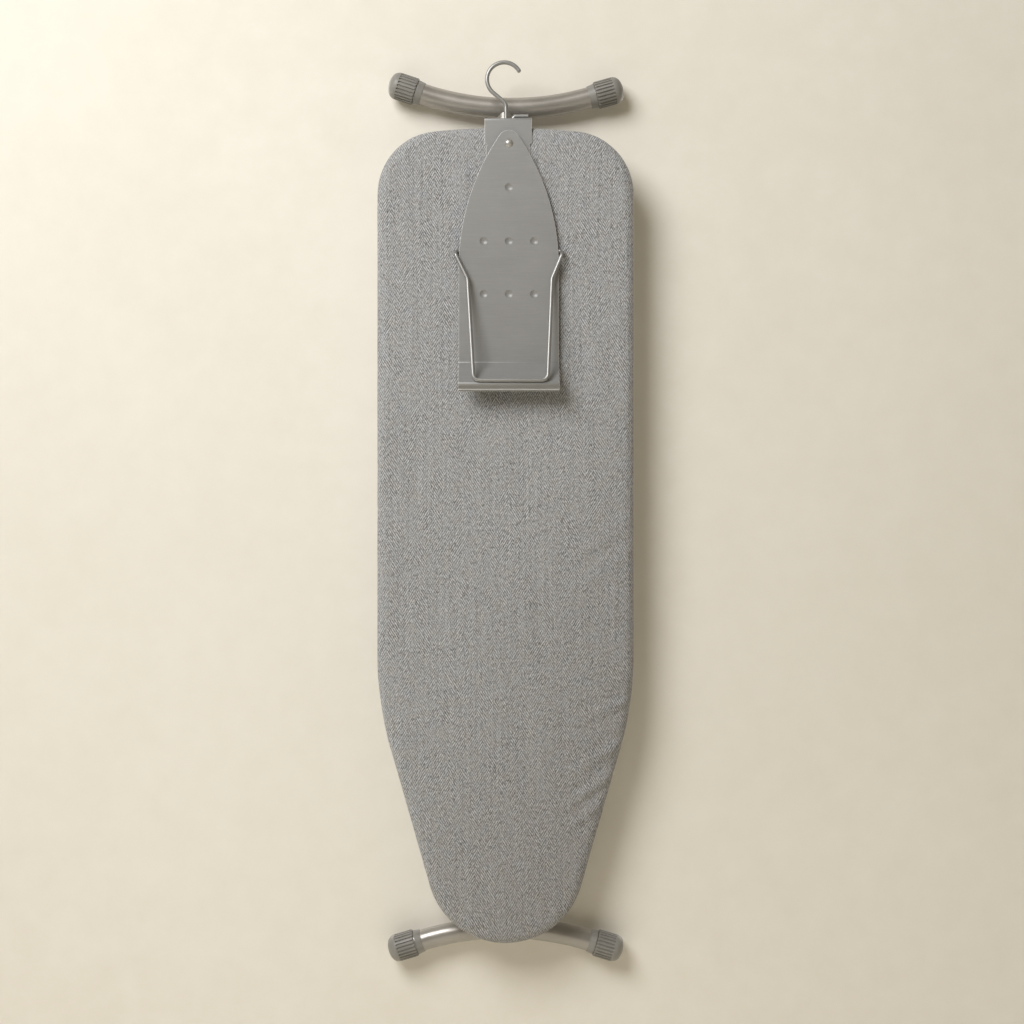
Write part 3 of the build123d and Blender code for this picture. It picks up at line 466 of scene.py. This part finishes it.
# Lamps aimed at the board's middle: name, place from that middle, size, power and colour.
MIDDLE = Vector((BOARD_X, 0, NOSE_Z + 0.61))
LAMPS = (
    ("key", (-1.45, -2.35, 2.00), 2.0, 97.0, (1.0, 0.998, 1.0)),
    ("fill", (1.8, -2.6, -0.2), 1.8, 1.5, (1.0, 0.90, 0.74)),
    ("back_left", (-1.6, 2.4, 1.0), 1.4, 22.0, (1.0, 0.98, 0.95)),
    ("back_right", (1.8, 2.2, 0.4), 1.6, 20.0, (1.0, 0.98, 0.95)),
)


def one_sided(name, colour_of):
    """A matt surface seen only from its front, that lets lamps behind it shine through."""
    m = Nodes(name, roughness=0.95)
    m.finish(*colour_of(m))
    behind = m.node("ShaderNodeNewGeometry", out="Backfacing")
    shadow = m.node("ShaderNodeLightPath", out="Is Shadow Ray")
    open_side = m.maths("MAXIMUM", behind, shadow)
    clear = m.node("ShaderNodeBsdfTransparent")
    both = m.node("ShaderNodeMixShader", (0, open_side), (1, m.shader.outputs[0]), (2, clear))
    m.put(m.output.inputs[0], both)
    return m.material


def wall_paint(m):
    near = m.place()
    roller = m.noise(near, 140.0, 4.0, 0.65)
    cloud = m.noise(near, 1.6, 4.0, 0.6)
    faint = m.noise(near, 24.0, 3.0, 0.6)
    value = m.maths("ADD", m.maths("MULTIPLY", cloud, 0.6), m.maths("MULTIPLY", faint, 0.4))
    colour = m.ramp(value, (0.3, rgb(234, 229, 217)), (0.7, rgb(241, 237, 227)))
    return colour, None, m.bump(roller, 0.4 * MM, 0.25)


def backdrop():
    wall = new_object(
        "wall",
        [
            (-WALL_HALF, WALL_Y, FLOOR_Z),
            (WALL_HALF, WALL_Y, FLOOR_Z),
            (WALL_HALF, WALL_Y, WALL_HEIGHT),
            (-WALL_HALF, WALL_Y, WALL_HEIGHT),
        ],
        [(0, 1, 2, 3)],
    )
    floor = new_object(
        "floor",
        [
            (-WALL_HALF, -WALL_HALF, 0),
            (WALL_HALF, -WALL_HALF, 0),
            (WALL_HALF, WALL_HALF, 0),
            (-WALL_HALF, WALL_HALF, 0),
        ],
        [(0, 1, 2, 3)],
    )
    floor.location.z = FLOOR_Z
    wall.data.materials.append(one_sided("wall_paint", wall_paint))
    floor.data.materials.append(one_sided("floor_paint", wall_paint))


def area_light(name, away, size, power, colour):
    lamp = bpy.data.lights.new(name, "AREA")
    lamp.shape = "DISK"
    lamp.size = size
    lamp.energy = power
    lamp.color = colour
    at = MIDDLE + Vector(away)
    made = bpy.data.objects.new(name, lamp)
    made.location = at
    made.rotation_euler = (MIDDLE - at).to_track_quat("-Z", "Y").to_euler()
    bpy.context.scene.collection.objects.link(made)


def camera():
    data = bpy.data.cameras.new("camera")
    data.lens = LENS
    data.sensor_width = SENSOR
    made = bpy.data.objects.new("camera", data)
    made.location = EYE
    made.rotation_euler = (math.pi / 2, 0, 0)
    bpy.context.scene.collection.objects.link(made)
    bpy.context.scene.camera = made


def world():
    scene = bpy.context.scene
    scene.world = bpy.data.worlds.new("studio")
    scene.world.use_nodes = True
    background = scene.world.node_tree.nodes["Background"]
    background.inputs["Color"].default_value = AMBIENT
    background.inputs["Strength"].default_value = AMBIENT_STRENGTH
    scene.view_settings.view_transform = "Standard"


camera()
world()
backdrop()
for lamp_facts in LAMPS:
    area_light(*lamp_facts)

# ---------------------------------------------------------------- CAD nodes

MATERIALS = {
    "tube_steel": painted_material("tube_coat", (165, 161, 155), 0.31, 0.5),
    "frame_steel": painted_material("frame_coat", (142, 140, 135), 0.42, 0.4),
    "rest_steel": brushed_material("rest_brushed", (147, 147, 146), 0.44, metallic=0.2, contrast=0.5),
    "zinc_steel": brushed_material("zinc_plate", (186, 185, 182), 0.36, (900.0, 900.0, 900.0), 0.6),
    "bright_wire": brushed_material("wire_satin", (158, 158, 156), 0.38, (400.0, 400.0, 90.0), 0.6, 0.5),
    "cap_plastic": plastic_material("cap_moulded", (138, 136, 131), 0.42),
    "slider_plastic": plastic_material("slider_moulded", (62, 62, 62), 0.48),
    "bush_plastic": plastic_material("bush_nylon", (205, 203, 196), 0.45, 1.4),
    "grip_rubber": plastic_material("grip_rubber_soft", (52, 52, 53), 0.72, 0.8),
    "deck_steel": painted_material("deck_coat", (150, 148, 144), 0.45, 0.4),
}
for obj in NODES.values():
    for held in obj.material_slots:
        held.material = MATERIALS.get(held.material.name, held.material)


SHEARED_ROUND = 0.6 * MM
SHEARED_ANGLE = math.radians(40)
WELD_DISTANCE = 0.01 * MM


def soften_edges(names):
    """Rounds the sheared edges of sheet parts, so that they catch the light, and colours the rounds
    near-white as a painted highlight along the edges.
    """
    painted_edge_light = brushed_material("edge_painted_highlight", (248, 247, 244), 0.34, (300.0, 300.0, 300.0), 0.1, 0.3)
    for name in names:
        NODES[name].data.materials.append(painted_edge_light)
        weld = NODES[name].modifiers.new("weld", "WELD")
        weld.merge_threshold = WELD_DISTANCE
        round_off = NODES[name].modifiers.new("round_off", "BEVEL")
        round_off.width = SHEARED_ROUND
        round_off.segments = 2
        round_off.limit_method = "ANGLE"
        round_off.angle_limit = SHEARED_ANGLE
        round_off.material = 1


soften_edges(("rest_plate", "hanger_bracket"))

# ---------------------------------------------------------------- boards and rings of quads

FACE_COLUMNS = 60
FACE_ROWS = 200
EDGE_ROUND = 12 * MM
EDGE_SPREAD = 1.35  # how much wider than deep the edge's rounding is
ROUND_STEPS = 8
SIDE_STEPS = 3
CLOTH = 1.0 * MM


def coons(bottom, right, top, left):
    """A grid of points filled in between four sides. bottom and top run to +u, the others to +v."""
    columns, rows = len(bottom) - 1, len(left) - 1
    grid = []
    for j in range(rows + 1):
        v = j / rows
        row = []
        for i in range(columns + 1):
            u = i / columns
            flat = left[j] * (1 - u) + right[j] * u + bottom[i] * (1 - v) + top[i] * v
            low = bottom[0] * (1 - u) + bottom[-1] * u
            high = top[0] * (1 - u) + top[-1] * u
            row.append(flat - low * (1 - v) - high * v)
        grid.append(row)
    return grid


class Shell:
    """A board-shaped skin: a grid of quads for the face and rings of quads round it. Each vertex
    keeps its place along the outline, its distance along the cloth past the face and its normal."""

    def __init__(self, sections, columns=FACE_COLUMNS, rows=FACE_ROWS):
        self.columns, self.rows = columns, rows
        self.outline = even_outline(2 * (columns + rows))
        self.vertices, self.faces, self.uv, self.facts = [], [], [], []
        self.around = self.add_grid(sections[0][0], sections[0][1], None)
        for (outward, y, past), normal in zip(sections[1:], self.normals(sections)[1:]):
            self.add_ring(outward, y, past, normal)

    @staticmethod
    def normals(sections):
        """Each section's outward normal as (away from the outline, y)."""
        found = []
        for k in range(len(sections)):
            a, b = sections[max(0, k - 1)], sections[min(len(sections) - 1, k + 1)]
            run = Vector((b[0] - a[0], b[1] - a[1])).normalized()
            found.append(Vector((run.y, -run.x)))
        return found

    def add(self, point, y, uv, along, past, normal):
        self.vertices.append(Vector((BOARD_X + point.x, y, NOSE_Z + point.y)))
        self.uv.append(uv)
        self.facts.append((along, past, normal))
        return len(self.vertices) - 1

    def add_grid(self, outward, y, ring):
        """The face, or with ring the underside, whose edge is the ring. Returns its edge."""
        columns, rows, count = self.columns, self.rows, len(self.outline)
        flat = [p + n * outward for p, n in self.outline]
        half = columns // 2
        bottom = [flat[(k - half) % count] for k in range(columns + 1)]
        right = [flat[half + k] for k in range(rows + 1)]
        top = [flat[(half + rows + columns - k) % count] for k in range(columns + 1)]
        left = [flat[(-half - k) % count] for k in range(rows + 1)]
        edge = {}
        for k in range(columns + 1):
            edge[(0, k)] = (k - half) % count
            edge[(rows, k)] = (half + rows + columns - k) % count
        for k in range(rows + 1):
            edge[(k, columns)] = half + k
            edge[(k, 0)] = (-half - k) % count
        grid = coons(bottom, right, top, left)
        normal = Vector((0, -1 if ring is None else 1, 0))
        index = {}
        for j in range(rows + 1):
            for i in range(columns + 1):
                if ring is not None and (j, i) in edge:
                    index[(j, i)] = ring[edge[(j, i)]]
                else:
                    p = grid[j][i]
                    index[(j, i)] = self.add(p, y, (p.x, p.y), 0.0, -1.0, normal)
        for j in range(rows):
            for i in range(columns):
                face = [index[(j, i)], index[(j, i + 1)], index[(j + 1, i + 1)], index[(j + 1, i)]]
                self.faces.append(tuple(face if ring is None else face[::-1]))
        found = [0] * count
        for key, k in edge.items():
            found[k] = index[key]
        return found

    def add_ring(self, outward, y, past, normal):
        step = FINE_LENGTH * 2 / len(self.outline)
        current = []
        for k, (p, n) in enumerate(self.outline):
            far = p + n * past
            lean = Vector((n.x * normal.x, normal.y, n.y * normal.x))
            current.append(self.add(p + n * outward, y, (far.x, far.y), k * step, past, lean))
        count = len(current)
        for k in range(count):
            after = (k + 1) % count
            self.faces.append((self.around[k], current[k], current[after], self.around[after]))
        self.around = current

    def make(self, name):
        made = new_object(name, self.vertices, self.faces)
        layer = made.data.uv_layers.new(name="Weave")
        for loop in made.data.loops:
            layer.data[loop.index].uv = self.uv[loop.vertex_index]
        return made


def rounded_sections(front, back, outward, radius):
    """A section from the face, round its softly rolled edge and down its straight side, as
    (outward, y, past)."""
    reach = radius * EDGE_SPREAD
    past = outward - reach
    found = [(outward - reach, front, past)]
    for k in range(1, ROUND_STEPS + 1):
        turn = math.pi / 2 * k / ROUND_STEPS
        point = Vector((outward - reach * (1 - math.sin(turn)), front + radius * (1 - math.cos(turn))))
        past += (point - Vector(found[-1][:2])).length
        found.append((*point, past))
    side = back - front - radius
    for k in range(1, SIDE_STEPS + 1):
        run = side * k / SIDE_STEPS
        found.append((outward, front + radius + run, past + run))
    return found


def smooth(value, low, high):
    """0 below low, 1 above high, and a soft step in between."""
    t = min(1.0, max(0.0, (value - low) / (high - low)))
    return t * t * (3 - 2 * t)


def wobble(x, y=0.0, z=0.0):
    """Smooth noise from about -1 to 1, the same each time."""
    return noise.noise(Vector((x, y, z)))


# ---------------------------------------------------------------- pad

PAD_ROUND = 9.5 * MM
PAD_COLUMNS = 44
PAD_ROWS = 148
PAD_SINK = 0.4 * MM  # the felt's face lies this much under the CAD pad's
PAD_GAP = 1.2 * MM  # and its edge this much inside it
FELT_LUMPS = 0.25 * MM
PAD_DENT = 1.5  # how much deeper the felt dips than the cloth beside a crease


def pad():
    """The felt: a flat-bottomed slab, soft at its edge, uneven on top and dented beside creases."""
    low, high = PAD_LOW.y + PAD_SINK, PAD_HIGH.y
    inset = (PAD_LOW.x - COVER_LOW.x) + PAD_GAP
    shell = Shell(rounded_sections(low, high, -inset, PAD_ROUND), PAD_COLUMNS, PAD_ROWS)
    shell.add_grid(-inset, high, shell.around)
    for k, (_, past, normal) in enumerate(shell.facts):
        if normal.y < -0.2:
            v = shell.vertices[k]
            dent = PAD_DENT * min(0.0, crease_height(v.x - BOARD_X, v.z - NOSE_Z))
            shell.vertices[k] = v + normal * (dent + FELT_LUMPS * wobble(v.x * 30, v.z * 30, 5))
    made = shell.make("pad_felt")
    made.data.materials.append(felt_material())
    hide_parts("pad")
    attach(made, "board")
    return made


# ---------------------------------------------------------------- expanded-metal deck

DIAMOND_WIDTH = 20 * MM
DIAMOND_HEIGHT = 10 * MM
STRAND = 1.7 * MM
STRAND_TILT = 0.35 * MM
DECK_INSET = 2.6 * MM
DECK_SLIVER = 2 * MM  # a diamond whose middle is nearer than this to the cut edge is left out


def inward(point):
    """How far a point in x and z above the nose is inside the board's outline, and its nearest
    edge's outward normal."""
    near = EDGE_TREE.find((abs(point.x), point.y, 0))[1]
    edge, normal = FINE[near]
    depth = (edge - Vector((abs(point.x), point.y))).dot(normal)
    return depth, Vector((math.copysign(normal.x, point.x), normal.y))


def deck():
    """Expanded steel: a lattice of diamonds whose strands are tilted, cut to the board."""
    half_w, half_h = DIAMOND_WIDTH / 2, DIAMOND_HEIGHT / 2
    shrink = 1 - STRAND / 2 * math.hypot(half_w, half_h) / (half_w * half_h)
    middle = (DECK_LOW.y + DECK_HIGH.y) / 2
    vertices, faces, shared = [], [], {}

    def corner(point, lift):
        depth, normal = inward(point)
        if depth < DECK_INSET:
            point = point - normal * (DECK_INSET - depth)
        vertices.append(Vector((BOARD_X + point.x, middle + lift, NOSE_Z + point.y)))
        return len(vertices) - 1

    for j in range(int(BOARD_LENGTH / half_h) + 1):
        for i in range(-int(HALF_WIDTH / half_w) - 1, int(HALF_WIDTH / half_w) + 2):
            centre = Vector((i * half_w, j * half_h))
            if (i + j) % 2 or inward(centre)[0] < DECK_INSET + DECK_SLIVER:
                continue
            ways = ((1, 0), (0, 1), (-1, 0), (0, -1))
            outer = []
            for dx, dz in ways:
                key = (i + dx, j + dz)
                if key not in shared:
                    shared[key] = corner(Vector((key[0] * half_w, key[1] * half_h)), 0.0)
                outer.append(shared[key])
            inner = [
                corner(centre + Vector((dx * half_w, dz * half_h)) * shrink, dz * STRAND_TILT)
                for dx, dz in ways
            ]
            for k in range(4):
                after = (k + 1) % 4
                faces.append((outer[k], outer[after], inner[after], inner[k]))
    made = new_object("deck_mesh", vertices, faces, smooth=False)
    thick = made.modifiers.new("thickness", "SOLIDIFY")
    thick.thickness = DECK_HIGH.y - DECK_LOW.y
    thick.offset = 0
    apply_modifiers(made)
    made.data.materials.append(MATERIALS["deck_steel"])
    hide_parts("deck_panel")
    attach(made, "board")


# ---------------------------------------------------------------- cover

HEM_TURN = 3 * MM
HEM_INSET = 30 * MM
TURN_STEPS = 3
HEM_STEPS = 7
PLEAT_CURVED = 12.5 * MM
PLEAT_STRAIGHT = 23 * MM
PLEAT_HEIGHT = 3.0 * MM
PLEAT_START = 6 * MM  # pleats grow from this far past the face
PLEAT_FULL = 52 * MM  # to their full height here
NOSE_GATHER = (0.13, 0.19)  # along the outline from the nose's tip, where the gathering fades
CORNER_GATHER = (0.055, 0.11)  # the same, to both sides of a corner's middle
FACE_SWELL = 0.45 * MM
SIDE_SWELL = 0.5 * MM
SIMULATION_FRAMES = 14
MOVE_LIMIT = 0.5 * MM  # how far the simulation may move a point of the cloth
HELD_HEM = 12 * MM  # the simulation holds this much of the hem still
FREE_HEM = 45 * MM  # and lets go of it gradually, up to here

# Soft creases in the face: start and end across the board and above the nose, in metres, then
# height and width in millimetres. Each has a shallow trough on both sides.
CREASE_FADE = 0.55  # the share of a crease's length, at its end, over which it fades out
TROUGH_DEPTH = 0.5  # as a share of the crease's height
TROUGH_AWAY = 1.6  # in widths of the crease
CREASES = (
    ((-0.190, 0.690), (-0.120, 0.668), 1.5, 9.0),
    ((-0.188, 0.640), (-0.150, 0.655), 1.2, 7.0),
    ((0.192, 0.640), (0.080, 0.560), 1.5, 10.0),
    ((0.190, 0.590), (0.060, 0.500), 1.3, 11.0),
    ((0.184, 0.366), (0.088, 0.324), 2.6, 7.5),
    ((0.172, 0.302), (0.084, 0.246), 2.8, 7.5),
    ((0.160, 0.256), (0.074, 0.194), 2.8, 7.0),
    ((0.148, 0.216), (0.072, 0.156), 2.5, 7.5),
    ((-0.170, 0.380), (-0.090, 0.330), 0.9, 10.0),
    ((-0.190, 0.980), (-0.110, 0.900), 0.9, 12.0),
    ((0.185, 0.960), (0.120, 0.860), 1.1, 10.0),
)


def cover_sections():
    """The cloth's middle, from the face round the edge, down the side and round to the hem."""
    front, back = FACE_Y + CLOTH / 2, HEM_HIGH.y - CLOTH / 2
    found = rounded_sections(front, back - HEM_TURN, -CLOTH / 2, EDGE_ROUND - CLOTH / 2)
    outward, y, past = found[-1]
    step = HEM_TURN * math.pi / (2 * TURN_STEPS)
    for k in range(1, TURN_STEPS + 1):
        turn = math.pi / 2 * k / TURN_STEPS
        found.append(
            (outward - HEM_TURN * (1 - math.cos(turn)), y + HEM_TURN * math.sin(turn), past + step * k)
        )
    start, _, past = found[-1]
    for k in range(1, HEM_STEPS + 1):
        run = (HEM_INSET + start) * k / HEM_STEPS
        found.append((start - run, back, past + run))
    return found


def crease_height(x, z):
    """How far the creases raise the face, each a ridge with a shallow trough along both sides."""
    total = 0.0
    for (ax, az), (bx, bz), height, width in CREASES:
        run = Vector((bx - ax, bz - az))
        share = max(0.0, min(1.0, Vector((x - ax, z - az)).dot(run) / run.length_squared))
        away = (Vector((ax, az)) + run * share - Vector((x, z))).length / (width * MM)
        fade = smooth(1 - share, 0.0, CREASE_FADE)
        trough = TROUGH_DEPTH * math.exp(-((away - TROUGH_AWAY) ** 2))
        total += height * MM * fade * (math.exp(-away * away) - trough)
    return total


def pleats(along, past, curved):
    """How far the gathered side and hem stand out, deepest at the hem."""
    phase = along / (PLEAT_STRAIGHT + (PLEAT_CURVED - PLEAT_STRAIGHT) * curved)
    phase += 0.55 * wobble(along / (55 * MM), 3.0)
    ridge = (0.5 + 0.5 * math.cos(2 * math.pi * phase)) ** 1.6
    tall = 0.65 + 0.35 * wobble(along / (31 * MM), 9.0)
    grown = smooth(past, PLEAT_START, PLEAT_FULL)
    return PLEAT_HEIGHT * tall * ridge * (0.22 + 0.78 * curved) * grown


def curvature_along(along):
    """1 at the nose and the corners, 0 on the straight sides, at a length along the outline."""
    total = FINE_LENGTH * 2
    reach = min(along, total - along)
    nose = 1 - smooth(reach, *NOSE_GATHER)
    corner_middle = FINE_LENGTH - CORNER_X - CORNER_RADIUS * 0.62
    corner = 1 - smooth(abs(reach - corner_middle), *CORNER_GATHER)
    return max(nose, corner)


def cap_moves(obj, start, limit):
    """Keeps each vertex within limit of where it started."""
    for v, home in zip(obj.data.vertices, start):
        move = v.co - home
        if move.length > limit:
            v.co = home + move * (limit / move.length)


def settle(obj, solid, pinned):
    """Runs a short cloth simulation over the pad, with the hem held, and keeps its result."""
    start = [v.co.copy() for v in obj.data.vertices]
    group = obj.vertex_groups.new(name="held")
    for k, weight in pinned.items():
        group.add([k], weight, "REPLACE")
    solid.modifiers.new("collision", "COLLISION")
    solid.collision.thickness_outer = 0.4 * MM
    solid.collision.cloth_friction = 12
    cloth = obj.modifiers.new("cloth", "CLOTH")
    settings = cloth.settings
    settings.quality = 6
    settings.mass = 0.25
    settings.tension_stiffness = 18
    settings.compression_stiffness = 18
    settings.shear_stiffness = 8
    settings.bending_stiffness = 0.35
    settings.tension_damping = 12
    settings.compression_damping = 12
    settings.air_damping = 6
    settings.shrink_min = -0.002
    settings.use_pressure = True
    settings.uniform_pressure_force = 0.35
    settings.effector_weights.gravity = 0
    settings.vertex_group_mass = "held"
    settings.pin_stiffness = 4
    cloth.collision_settings.distance_min = 0.5 * MM
    cloth.collision_settings.use_self_collision = False
    scene = bpy.context.scene
    scene.frame_start, scene.frame_end = 1, SIMULATION_FRAMES
    cloth.point_cache.frame_start, cloth.point_cache.frame_end = 1, SIMULATION_FRAMES
    for number in range(1, SIMULATION_FRAMES + 1):
        scene.frame_set(number)
    apply_modifiers(obj)
    solid.modifiers.clear()
    scene.frame_set(1)
    cap_moves(obj, start, MOVE_LIMIT)


def cover_shell():
    """The cover as it is sewn: gathered at the hem, with a few soft creases across the face."""
    shell = Shell(cover_sections())
    for k, (along, past, normal) in enumerate(shell.facts):
        v = shell.vertices[k]
        x, z = v.x - BOARD_X, v.z - NOSE_Z
        if past < 0:
            edge = smooth(inward(Vector((x, z)))[0], 2 * MM, 45 * MM)
            swell = FACE_SWELL * wobble(x * 13, z * 13, 1) + 0.5 * FACE_SWELL * wobble(x * 34, z * 34, 2)
            crease = crease_height(x, z) * (1 - smooth(past, -6 * MM, 0))
            rise = swell + crease + 0.6 * FACE_SWELL * (1 - edge) * wobble(x * 60, z * 60, 7)
        else:
            rise = pleats(along, past, curvature_along(along))
            drape = wobble(along / (38 * MM), past / (14 * MM), 4)
            rise += SIDE_SWELL * drape * smooth(past, -8 * MM, 10 * MM)
        shell.vertices[k] = v + normal * rise
    return shell


def cover(pad_piece):
    """The cover over the pad, and how far its cloth reaches past the board's outline."""
    shell = cover_shell()
    made = shell.make("cloth_cover")
    furthest = max(past for _, past, _ in shell.facts)
    held = {}
    for k, (_, past, _) in enumerate(shell.facts):
        weight = smooth(past, furthest - FREE_HEM, furthest - HELD_HEM)
        if weight > 0:
            held[k] = weight
    settle(made, pad_piece, held)
    thick = made.modifiers.new("thickness", "SOLIDIFY")
    thick.thickness = CLOTH
    thick.offset = 0
    soften = made.modifiers.new("soften", "SUBSURF")
    soften.levels = soften.render_levels = 1
    apply_modifiers(made)
    made.data.materials.append(cloth_material())
    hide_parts("cover", "cover_hem")
    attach(made, "board")
    return made, furthest


# ---------------------------------------------------------------- hem: elastic and stitches

THREAD_RADIUS = 0.38 * MM
STITCH_PITCH = 5.4 * MM
STITCH_LENGTH = 3.9 * MM
STITCH_INSET = 23 * MM
STITCH_SLANT = 1.2 * MM
STITCH_RISE = 0.25 * MM
WHIP_FOOT = 3.2 * MM  # how far inside the hem's edge a whip stitch starts
WHIP_BEND = 2.4 * MM
TUBE_SIDES = 6
TUBE_UP = Vector((0.13, 0.97, 0.21))  # a direction that no thread runs along
ELASTIC_STEPS = 720
CORD_Y = (CORD_LOW.y + CORD_HIGH.y) / 2
CORD_RADIUS = (CORD_HIGH.y - CORD_LOW.y) / 2 - 0.15 * MM
CORD_INSET = HEM_INSET + CORD_RADIUS + 0.1 * MM


def tubes(name, paths, radius):
    """Short capped tubes, one along each path of points, as one mesh."""
    vertices, faces = [], []
    for path in paths:
        start = len(vertices)
        for k, p in enumerate(path):
            run = (path[min(k + 1, len(path) - 1)] - path[max(k - 1, 0)]).normalized()
            side = run.cross(TUBE_UP).normalized()
            up = side.cross(run)
            slim = radius * (0.55 if k in (0, len(path) - 1) else 1.0)
            for n in range(TUBE_SIDES):
                turn = 2 * math.pi * n / TUBE_SIDES
                vertices.append(p + (side * math.cos(turn) + up * math.sin(turn)) * slim)
        for k in range(len(path) - 1):
            first = start + k * TUBE_SIDES
            for n in range(TUBE_SIDES):
                a, b = first + n, first + (n + 1) % TUBE_SIDES
                faces.append((a, b, b + TUBE_SIDES, a + TUBE_SIDES))
        faces.append(tuple(start + n for n in reversed(range(TUBE_SIDES))))
        last = start + (len(path) - 1) * TUBE_SIDES
        faces.append(tuple(last + n for n in range(TUBE_SIDES)))
    return new_object(name, vertices, faces)


def hem_elastic():
    """The round elastic at the hem's edge, which sways a little on its way round."""
    ring = even_outline(ELASTIC_STEPS)
    step = 2 * FINE_LENGTH / len(ring)
    curve = bpy.data.curves.new("hem_elastic", "CURVE")
    curve.dimensions = "3D"
    curve.bevel_depth = CORD_RADIUS
    curve.bevel_resolution = 3
    spline = curve.splines.new("POLY")
    spline.points.add(len(ring) - 1)
    spline.use_cyclic_u = True
    for k, (p, n) in enumerate(ring):
        sway = 0.35 * MM * wobble(k * step / (17 * MM), 11.0)
        spline.points[k].co = (*place(p, n, CORD_INSET + sway, CORD_Y + sway), 1)
    rope = bpy.data.objects.new("hem_elastic", curve)
    bpy.context.scene.collection.objects.link(rope)
    bpy.context.view_layer.update()
    mesh = bpy.data.meshes.new_from_object(rope)
    bpy.data.objects.remove(rope)
    elastic = bpy.data.objects.new("hem_elastic", mesh)
    mesh.polygons.foreach_set("use_smooth", [True] * len(mesh.polygons))
    bpy.context.scene.collection.objects.link(elastic)
    mesh.materials.clear()
    mesh.materials.append(cord_material("elastic_braid", (176, 172, 162), (226, 222, 212)))
    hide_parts("hem_cord")
    return elastic


def stitch_paths(cover_piece):
    """The row of hem stitches and the whip stitches over the elastic, each as a path of points."""
    surface = BVHTree.FromPolygons(
        [v.co.copy() for v in cover_piece.data.vertices],
        [tuple(f.vertices) for f in cover_piece.data.polygons],
    )

    def on_hem(p, n, depth, lift):
        at = place(p, n, depth, HEM_HIGH.y + 20 * MM)
        hit = surface.ray_cast(at, Vector((0, -1, 0)))[0]
        return (hit or place(p, n, depth, HEM_HIGH.y)) + Vector((0, lift, 0))

    count = round(2 * FINE_LENGTH / STITCH_PITCH)
    reach = STITCH_LENGTH / 2
    lifts = (-STITCH_RISE, STITCH_RISE, STITCH_RISE, -STITCH_RISE)
    over = CORD_Y + CORD_RADIUS + THREAD_RADIUS * 0.7
    hem_row, whip = [], []
    for p, n in even_outline(count - count % 2):
        along = Vector((-n.y, n.x))
        ends = [p - along * reach, p - along * reach * 0.4, p + along * reach * 0.4, p + along * reach]
        hem_row.append([on_hem(q, n, STITCH_INSET, lift) for q, lift in zip(ends, lifts)])
        slant = along * STITCH_SLANT
        whip.append(
            [
                on_hem(p - slant, n, HEM_INSET - WHIP_FOOT, -0.2 * MM),
                on_hem(p - slant * 0.7, n, HEM_INSET - WHIP_BEND, 0.3 * MM),
                place(p, n, CORD_INSET - CORD_RADIUS * 0.5, over),
                place(p + slant * 0.5, n, CORD_INSET + CORD_RADIUS * 0.55, over - CORD_RADIUS * 0.3),
                place(p + slant, n, CORD_INSET + CORD_RADIUS * 1.02, CORD_Y),
            ]
        )
    return hem_row, whip


def hem_details(cover_piece):
    """The elastic at the hem's edge, whip-stitched to it, and a row of hem stitches."""
    pieces = [hem_elastic()]
    hem_row, whip = stitch_paths(cover_piece)
    thread = cord_material("thread_cotton", (120, 117, 111), (168, 165, 158), 900.0)
    for name, paths in (("hem_stitches", hem_row), ("elastic_stitches", whip)):
        row = tubes(name, paths, THREAD_RADIUS)
        row.data.materials.append(thread)
        pieces.append(row)
    for piece in pieces:
        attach(piece, "board")
    return pieces


pad_piece = pad()
deck()
cover_piece, cover_reach = cover(pad_piece)
hem_pieces = hem_details(cover_piece)
